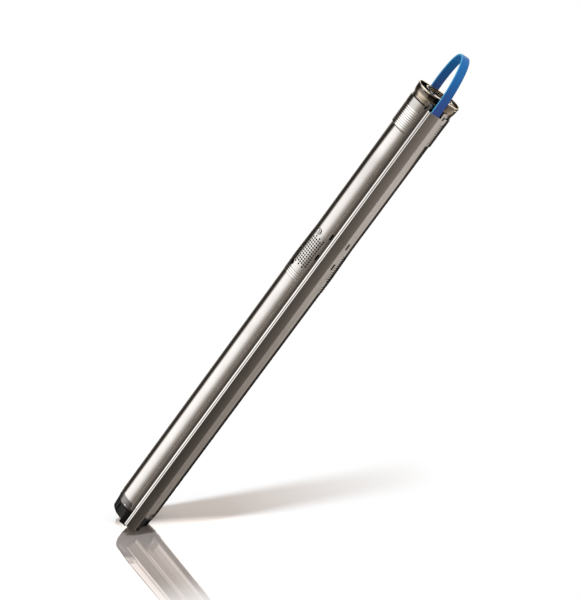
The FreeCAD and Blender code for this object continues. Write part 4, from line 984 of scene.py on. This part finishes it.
# The tube, guard, head and thread finishes carry painted shade and highlights.
finishes = {
    "stainless_steel": metal("tube_steel", (0.66, 0.63, 0.60), 0.13, AROUND_LINES,
                             painted_light=tube_painted_shade),
    "guard_steel": metal("guard_strip", (0.93, 0.885, 0.85), 0.11, ALONG_LINES,
                         painted_light=guard_side_painted_shade),
    "cast_stainless": metal("cast_steel", (0.44, 0.40, 0.35), 0.33, NO_LINES, **CASTING),
    "cast_head": metal("polished_casting", (0.95, 0.81, 0.64), 0.23, NO_LINES,
                       painted_light=head_painted_light, **CASTING),
    "mouth_thread": metal("thread_steel", (0.80, 0.62, 0.42), 0.55, NO_LINES,
                          painted_light=thread_painted_shade),
    "machined_steel": metal("turned_steel", (0.66, 0.65, 0.64), 0.18, (60.0, 60.0, 1500.0)),
    "spring_steel": metal("spring_wire", (0.55, 0.55, 0.55), 0.25, NO_LINES),
    "grey_ring": metal("ring_steel", (0.27, 0.26, 0.25), 0.27, AROUND_LINES,
                       line_rough=0.08, cloud=60.0),
    "aluminium": metal("drawn_aluminium", (0.62, 0.63, 0.64), 0.3, ALONG_LINES),
    "lamination_steel": metal("varnished_sheets", (0.16, 0.15, 0.15), 0.4, (20.0, 20.0, 2000.0),
                              line_rough=0.15),
    "copper": metal("enamelled_copper", (0.62, 0.27, 0.13), 0.3, (900.0, 900.0, 900.0)),
    "magnet": metal("coated_magnet", (0.22, 0.22, 0.23), 0.35, NO_LINES),
}

# %% [markdown]
# ## Rubber, plastic and the cable's sheath
# These don't conduct, so they have a plain gloss over their colour. A moulded skin has a fine
# grain, and rubber is rougher with pale traces where it was touched.

# %% Moulded finishes
PALE_START = 0.35
PALE_CONTRAST = 2.5
PALE_LEAST = 0.002
PALE_ROUGH = 0.12
MOULDED_CLOUD = 40.0
MOULDED_RELIEF = 0.0001
# The cable's painted shade towards its foot and painted highlight along its left edge.
FOOT_SHADE_FADE = (-20.0, 50.0)
EDGE_HIGHLIGHT_FADE = (-7.0, -5.7)
SOFT_GLOSS = {"Specular IOR Level": 0.3}


def moulded(name, colour, roughness, grain=1400.0, relief=0.08, paler=0.25, foot_shade=None, edge=None,
            **more):
    """A fine grain raises the skin, and clouds change its colour and roughness a little. The
    cable's colour turns darker towards its foot, a painted shade, and paler along its left edge, a
    painted highlight."""
    material, shader, finish, place = new_finish(name, colour, 0.0, roughness, **more)
    clouds = finish.noise(place, MOULDED_CLOUD, 4.0)
    pale = tuple(min(1.0, channel * (1 + paler) + PALE_LEAST) for channel in colour)
    shade = finish.mixed((clouds - PALE_START) * PALE_CONTRAST, (*colour, 1.0), (*pale, 1.0))
    # The cable's colour: painted shade towards its foot, a painted highlight along its left edge.
    if foot_shade:
        x, y, z = place.axes()
        shade = finish.mixed(z.rising(FOOT_SHADE_FADE, MM), (*foot_shade, 1.0), shade)
        shade = finish.mixed(x.rising(EDGE_HIGHLIGHT_FADE, MM), (*edge, 1.0), shade)
    link(shader, "Base Color", shade)
    link(shader, "Roughness", roughness + (clouds - 0.5) * PALE_ROUGH)
    link(shader, "Normal", finish.add("ShaderNodeBump", {}, {
        "Strength": relief, "Distance": MOULDED_RELIEF, "Height": finish.noise(place, grain, 2.0)}))
    return material


finishes.update({
    "rubber": moulded("seal_rubber", (0.02, 0.02, 0.02), 0.6),
    "rubber_seat": moulded("seat_rubber", (0.025, 0.025, 0.025), 0.5),
    "black_rubber": moulded("plug_rubber", (0.02, 0.02, 0.02), 0.5),
    "black_composite": moulded("glass_filled_black", (0.03, 0.03, 0.033), 0.45),
    "impeller_composite": moulded("glass_filled_grey", (0.09, 0.09, 0.10), 0.4),
    "carbon": moulded("ground_carbon", (0.05, 0.05, 0.052), 0.35),
    "board": moulded("lacquered_board", (0.02, 0.14, 0.06), 0.3),
    "black_plastic": moulded("cap_moulding", (0.006, 0.006, 0.006), 0.3, **SOFT_GLOSS),
    # Its foot colour is painted shade and its edge colour a painted highlight.
    "blue_cable": moulded("blue_sheath", (0.006, 0.145, 0.43), 0.35, grain=700.0, relief=0.05,
                          paler=0.12, foot_shade=(0.035, 0.085, 0.31), edge=(0.08, 0.42, 0.66),
                          **SOFT_GLOSS),
})
print("finishes", len(finishes))

# %% [markdown]
# Every solid that still shows gets the finish of its slot, and so does each new piece. The head and
# its thread have finishes of their own.

# %% Finishes go onto the pieces
def give(piece, material):
    """Puts the material into the piece's slots, or gives it one."""
    if len(piece.data.materials):
        for slot in piece.material_slots:
            slot.material = material
    else:
        piece.data.materials.append(material)


for part in frame["record"]["subparts"]:
    give(frame["nodes"][part["node"]], finishes[part["material_slot"]])

new_pieces[discharge_head] = "cast_head"
new_pieces[mouth_thread] = "mouth_thread"
for piece, name in new_pieces.items():
    give(piece, finishes[name])

# %% [markdown]
# ## The studio
# Polished steel shows the room more than itself. The photograph's reflections look like those of a
# room with a tall bright panel on the left, a dimmer one on the right, dark cloth between them,
# where the camera stands, and a bright wall above the horizon at the back. Each wall's brightness is
# a ramp over the turn round the axis, in degrees, times a ramp over the height. The stops were set
# until the reflections were as bright as the photograph's. Matt surfaces get a plain light
# that comes more from the left. Seen directly, the world is plain white.

# %% The world's brightness by direction
WORLD_LIGHT = (0.67, 0.60, 0.555)
LEFT_PANEL = [
    (-180, 0.30), (-157, 0.03), (-134, 0.05), (-129, 0.4), (-122, 1.4), (-116, 1.65),
    (-99, 1.6), (-81, 1.41), (-63, 0.62), (-46, 0.2), (-37, 0.18), (-17, 0.0),
]
LEFT_HEIGHTS = [(-0.7, 0.2), (-0.55, 0.9), (-0.46, 1.0), (-0.32, 1.0), (-0.25, 0.93),
                (-0.22, 0.8), (-0.19, 0.65), (-0.15, 0.8), (-0.08, 1.4), (0.23, 1.45), (0.28, 0.9)]
DARK_CLOTH = [(-24, 0.0), (-17, 0.8), (12, 0.8), (14, 0.85), (19, 1.0), (24, 1.3), (28, 1.5),
              (34, 1.4), (46, 0.0)]
CLOTH_HEIGHTS = [(-0.44, 0.06), (-0.39, 0.072), (-0.35, 0.092), (-0.276, 0.108),
                 (-0.2555, 0.13), (-0.2, 0.17), (0.4, 0.17)]
RIGHT_PANEL = [(34, 0.0), (46, 0.13), (55, 0.23), (62, 0.27), (75, 0.25), (82, 0.26), (87, 0.42),
               (100, 0.42), (108, 0.1), (114, 0.02), (160, 0.03), (172, 0.15), (180, 0.30)]
RIGHT_HEIGHTS = [(-0.44, 0.92), (-0.39, 1.0), (-0.35, 1.15), (-0.276, 1.85), (-0.2, 1.95),
                 (0.1, 1.2), (0.25, 2.0)]
BACK_WALL = [(-180, 1.0), (-150, 1.0), (-140, 0.0), (150, 0.0), (160, 1.0), (180, 1.0)]
BACK_HEIGHTS = [(0.1, 0.0), (0.17, 1.35)]
CEILING_FADE = (0.4, 0.6)
CEILING = 1.2
WARM = (1.0, 0.87, 0.75, 1.0)
WHITE = (1.0, 1.0, 1.0, 1.0)
SIDE_MIDDLE = 0.79
SIDE_SLOPE = 0.56

scene.view_settings.view_transform = "Standard"
world = bpy.data.worlds.new("studio")
scene.world = world
world.use_nodes = True
world.node_tree.nodes.clear()
room = Finish(world.node_tree)
away_x, away_y, away_z = room.add("ShaderNodeTexCoord", output="Generated").axes()
turn = away_x.math("ARCTAN2", away_x, 0.0 - away_y) / (2 * math.pi) + 0.5


def wall(turns, heights):
    """One wall of the room: a ramp over the turn times a ramp over the height. A ramp's stops
    reach to one, so each holds half of its level."""
    across = room.ramp(turn, [((angle + 180) / 360, level / 2) for angle, level in turns])
    upwards = room.ramp(away_z / 2 + 0.5, [((height + 1) / 2, level / 2)
                                           for height, level in heights])
    return across * upwards * 4.0


walls = wall(LEFT_PANEL, LEFT_HEIGHTS) + wall(DARK_CLOTH, CLOTH_HEIGHTS)
walls = walls + wall(RIGHT_PANEL, RIGHT_HEIGHTS) + wall(BACK_WALL, BACK_HEIGHTS)
brightness = walls + away_z.rising(CEILING_FADE) * (CEILING - walls)
tint = room.mixed(brightness, WARM, WHITE)
seen_room = room.scaled(tint, brightness)
glossy = room.add("ShaderNodeLightPath", output="Is Glossy Ray")
straight = room.add("ShaderNodeLightPath", output="Is Camera Ray")
from_side = room.scaled(WORLD_LIGHT, SIDE_MIDDLE - away_x * SIDE_SLOPE)
light = room.mixed(glossy, from_side, seen_room)
light = room.mixed(straight, light, WHITE)
background = room.add("ShaderNodeBackground", {}, {"Color": light})
room.add("ShaderNodeOutputWorld", {}, {"Surface": background})

# %% [markdown]
# ## The key light
# One soft light stands above the floor and throws the shadow. It is a little blue, and the light
# left in the shadow is warm, which makes it beige. Its direction runs from the end of the shadow on
# the floor to the pump's head.

# %% The key light
FLOOR_NORMAL = Vector((-0.558, 0.0588, 0.8277)).normalized()
KEY_COLOUR = (0.87, 1.0, 1.09)
KEY_STRENGTH = 1.52
KEY_ANGLE = 4.5
KEY_FROM = Vector((-0.5564, -0.1755, 0.8122))

key = placed("key", bpy.data.lights.new("key", "SUN"))
key.data.energy = KEY_STRENGTH
key.data.color = KEY_COLOUR
key.data.angle = math.radians(KEY_ANGLE)
key.matrix_world = KEY_FROM.to_track_quat("Z", "Y").to_matrix().to_4x4()
key.visible_glossy = False
print("key", round(math.degrees(KEY_FROM.angle(FLOOR_NORMAL)), 1), "degrees off the floor's normal")

# %% [markdown]
# ## The floor
# The pump leans, and its lowest foot touches a pale, polished surface. The floor passes through
# that lowest point. It is white, keeps the shadow, and mirrors the pump near the foot. From below
# it can't be seen, so that the pump can be looked at from any side.

# %% The floor's place and mesh
FLOOR_HALF = 1.6
FLOOR_GAP = 0.0002

foot_points = np.concatenate([points_of(end_cap.data), points_of(cable_guard.data)])
contact = foot_points[(foot_points @ np.array(FLOOR_NORMAL)).argmin()]
floor_turn = FLOOR_NORMAL.to_track_quat("Z", "Y").to_matrix()
corners = np.array([(-1, -1, 0), (1, -1, 0), (1, 1, 0), (-1, 1, 0)]) * FLOOR_HALF
floor_points = corners @ np.array(floor_turn).T + contact - np.array(FLOOR_NORMAL) * FLOOR_GAP
floor_mesh = bpy.data.meshes.new("floor")
floor_mesh.from_pydata(floor_points.tolist(), [], [(0, 1, 2, 3)])
floor = placed("floor", floor_mesh)
floor.visible_glossy = False
print("pump stands at", contact.round(4))

# %% [markdown]
# Near the foot, on the side towards the camera, the floor is a warm mirror. Its shadow fades out
# with the distance, as in the photograph, and further away the floor is as white as the backdrop,
# so no horizon shows.

# %% The floor's finish
MIRROR = (0.16, 0.3)
MIRROR_SHARE = 0.7
MIRROR_EDGE = (-0.02, 0.01)
MIRROR_COLOUR = (0.97, 0.92, 0.89, 1.0)
FLOOR_COLOUR = (0.97, 0.97, 0.97, 1.0)
WARM_FLOOR = (1.0, 0.9, 0.85, 1.0)
SHADOW = (0.14, 0.52)

to_camera = CAMERA_PLACE - Vector(contact)
to_camera = (to_camera - to_camera.project(FLOOR_NORMAL)).normalized()

floor_material = bpy.data.materials.new("polished_floor")
floor_material.use_nodes = True
floor_material.node_tree.nodes.clear()
ground = Finish(floor_material.node_tree)
spot = ground.add("ShaderNodeTexCoord", output="Object")
distance = ground.add("ShaderNodeVectorMath", {"operation": "DISTANCE"},
                      {0: spot, 1: tuple(float(v) for v in contact)}, "Value")
share = (1.0 - distance.rising(MIRROR)) * MIRROR_SHARE
nearer = ground.add("ShaderNodeVectorMath", {"operation": "DOT_PRODUCT"}, {
    0: spot, 1: to_camera}, "Value") - float(contact @ np.array(to_camera))
share = share * nearer.rising(MIRROR_EDGE)
faded = distance.rising(SHADOW, kind="LINEAR")
plain = ground.add("ShaderNodeEmission")
warmer = ground.mixed(share / MIRROR_SHARE, FLOOR_COLOUR, WARM_FLOOR)
matt = ground.add("ShaderNodeBsdfDiffuse", {}, {"Color": warmer})
mirror = ground.add("ShaderNodeBsdfGlossy", {}, {"Color": MIRROR_COLOUR, "Roughness": 0.02})
surface = ground.add("ShaderNodeMixShader", {}, {0: faded, 1: matt, 2: plain})
surface = ground.add("ShaderNodeMixShader", {}, {0: share, 1: surface, 2: mirror})
below = ground.add("ShaderNodeNewGeometry", output="Backfacing")
clear = ground.add("ShaderNodeBsdfTransparent")
surface = ground.add("ShaderNodeMixShader", {}, {0: below, 1: surface, 2: clear})
ground.add("ShaderNodeOutputMaterial", {}, {"Surface": surface})
floor.data.materials.append(floor_material)
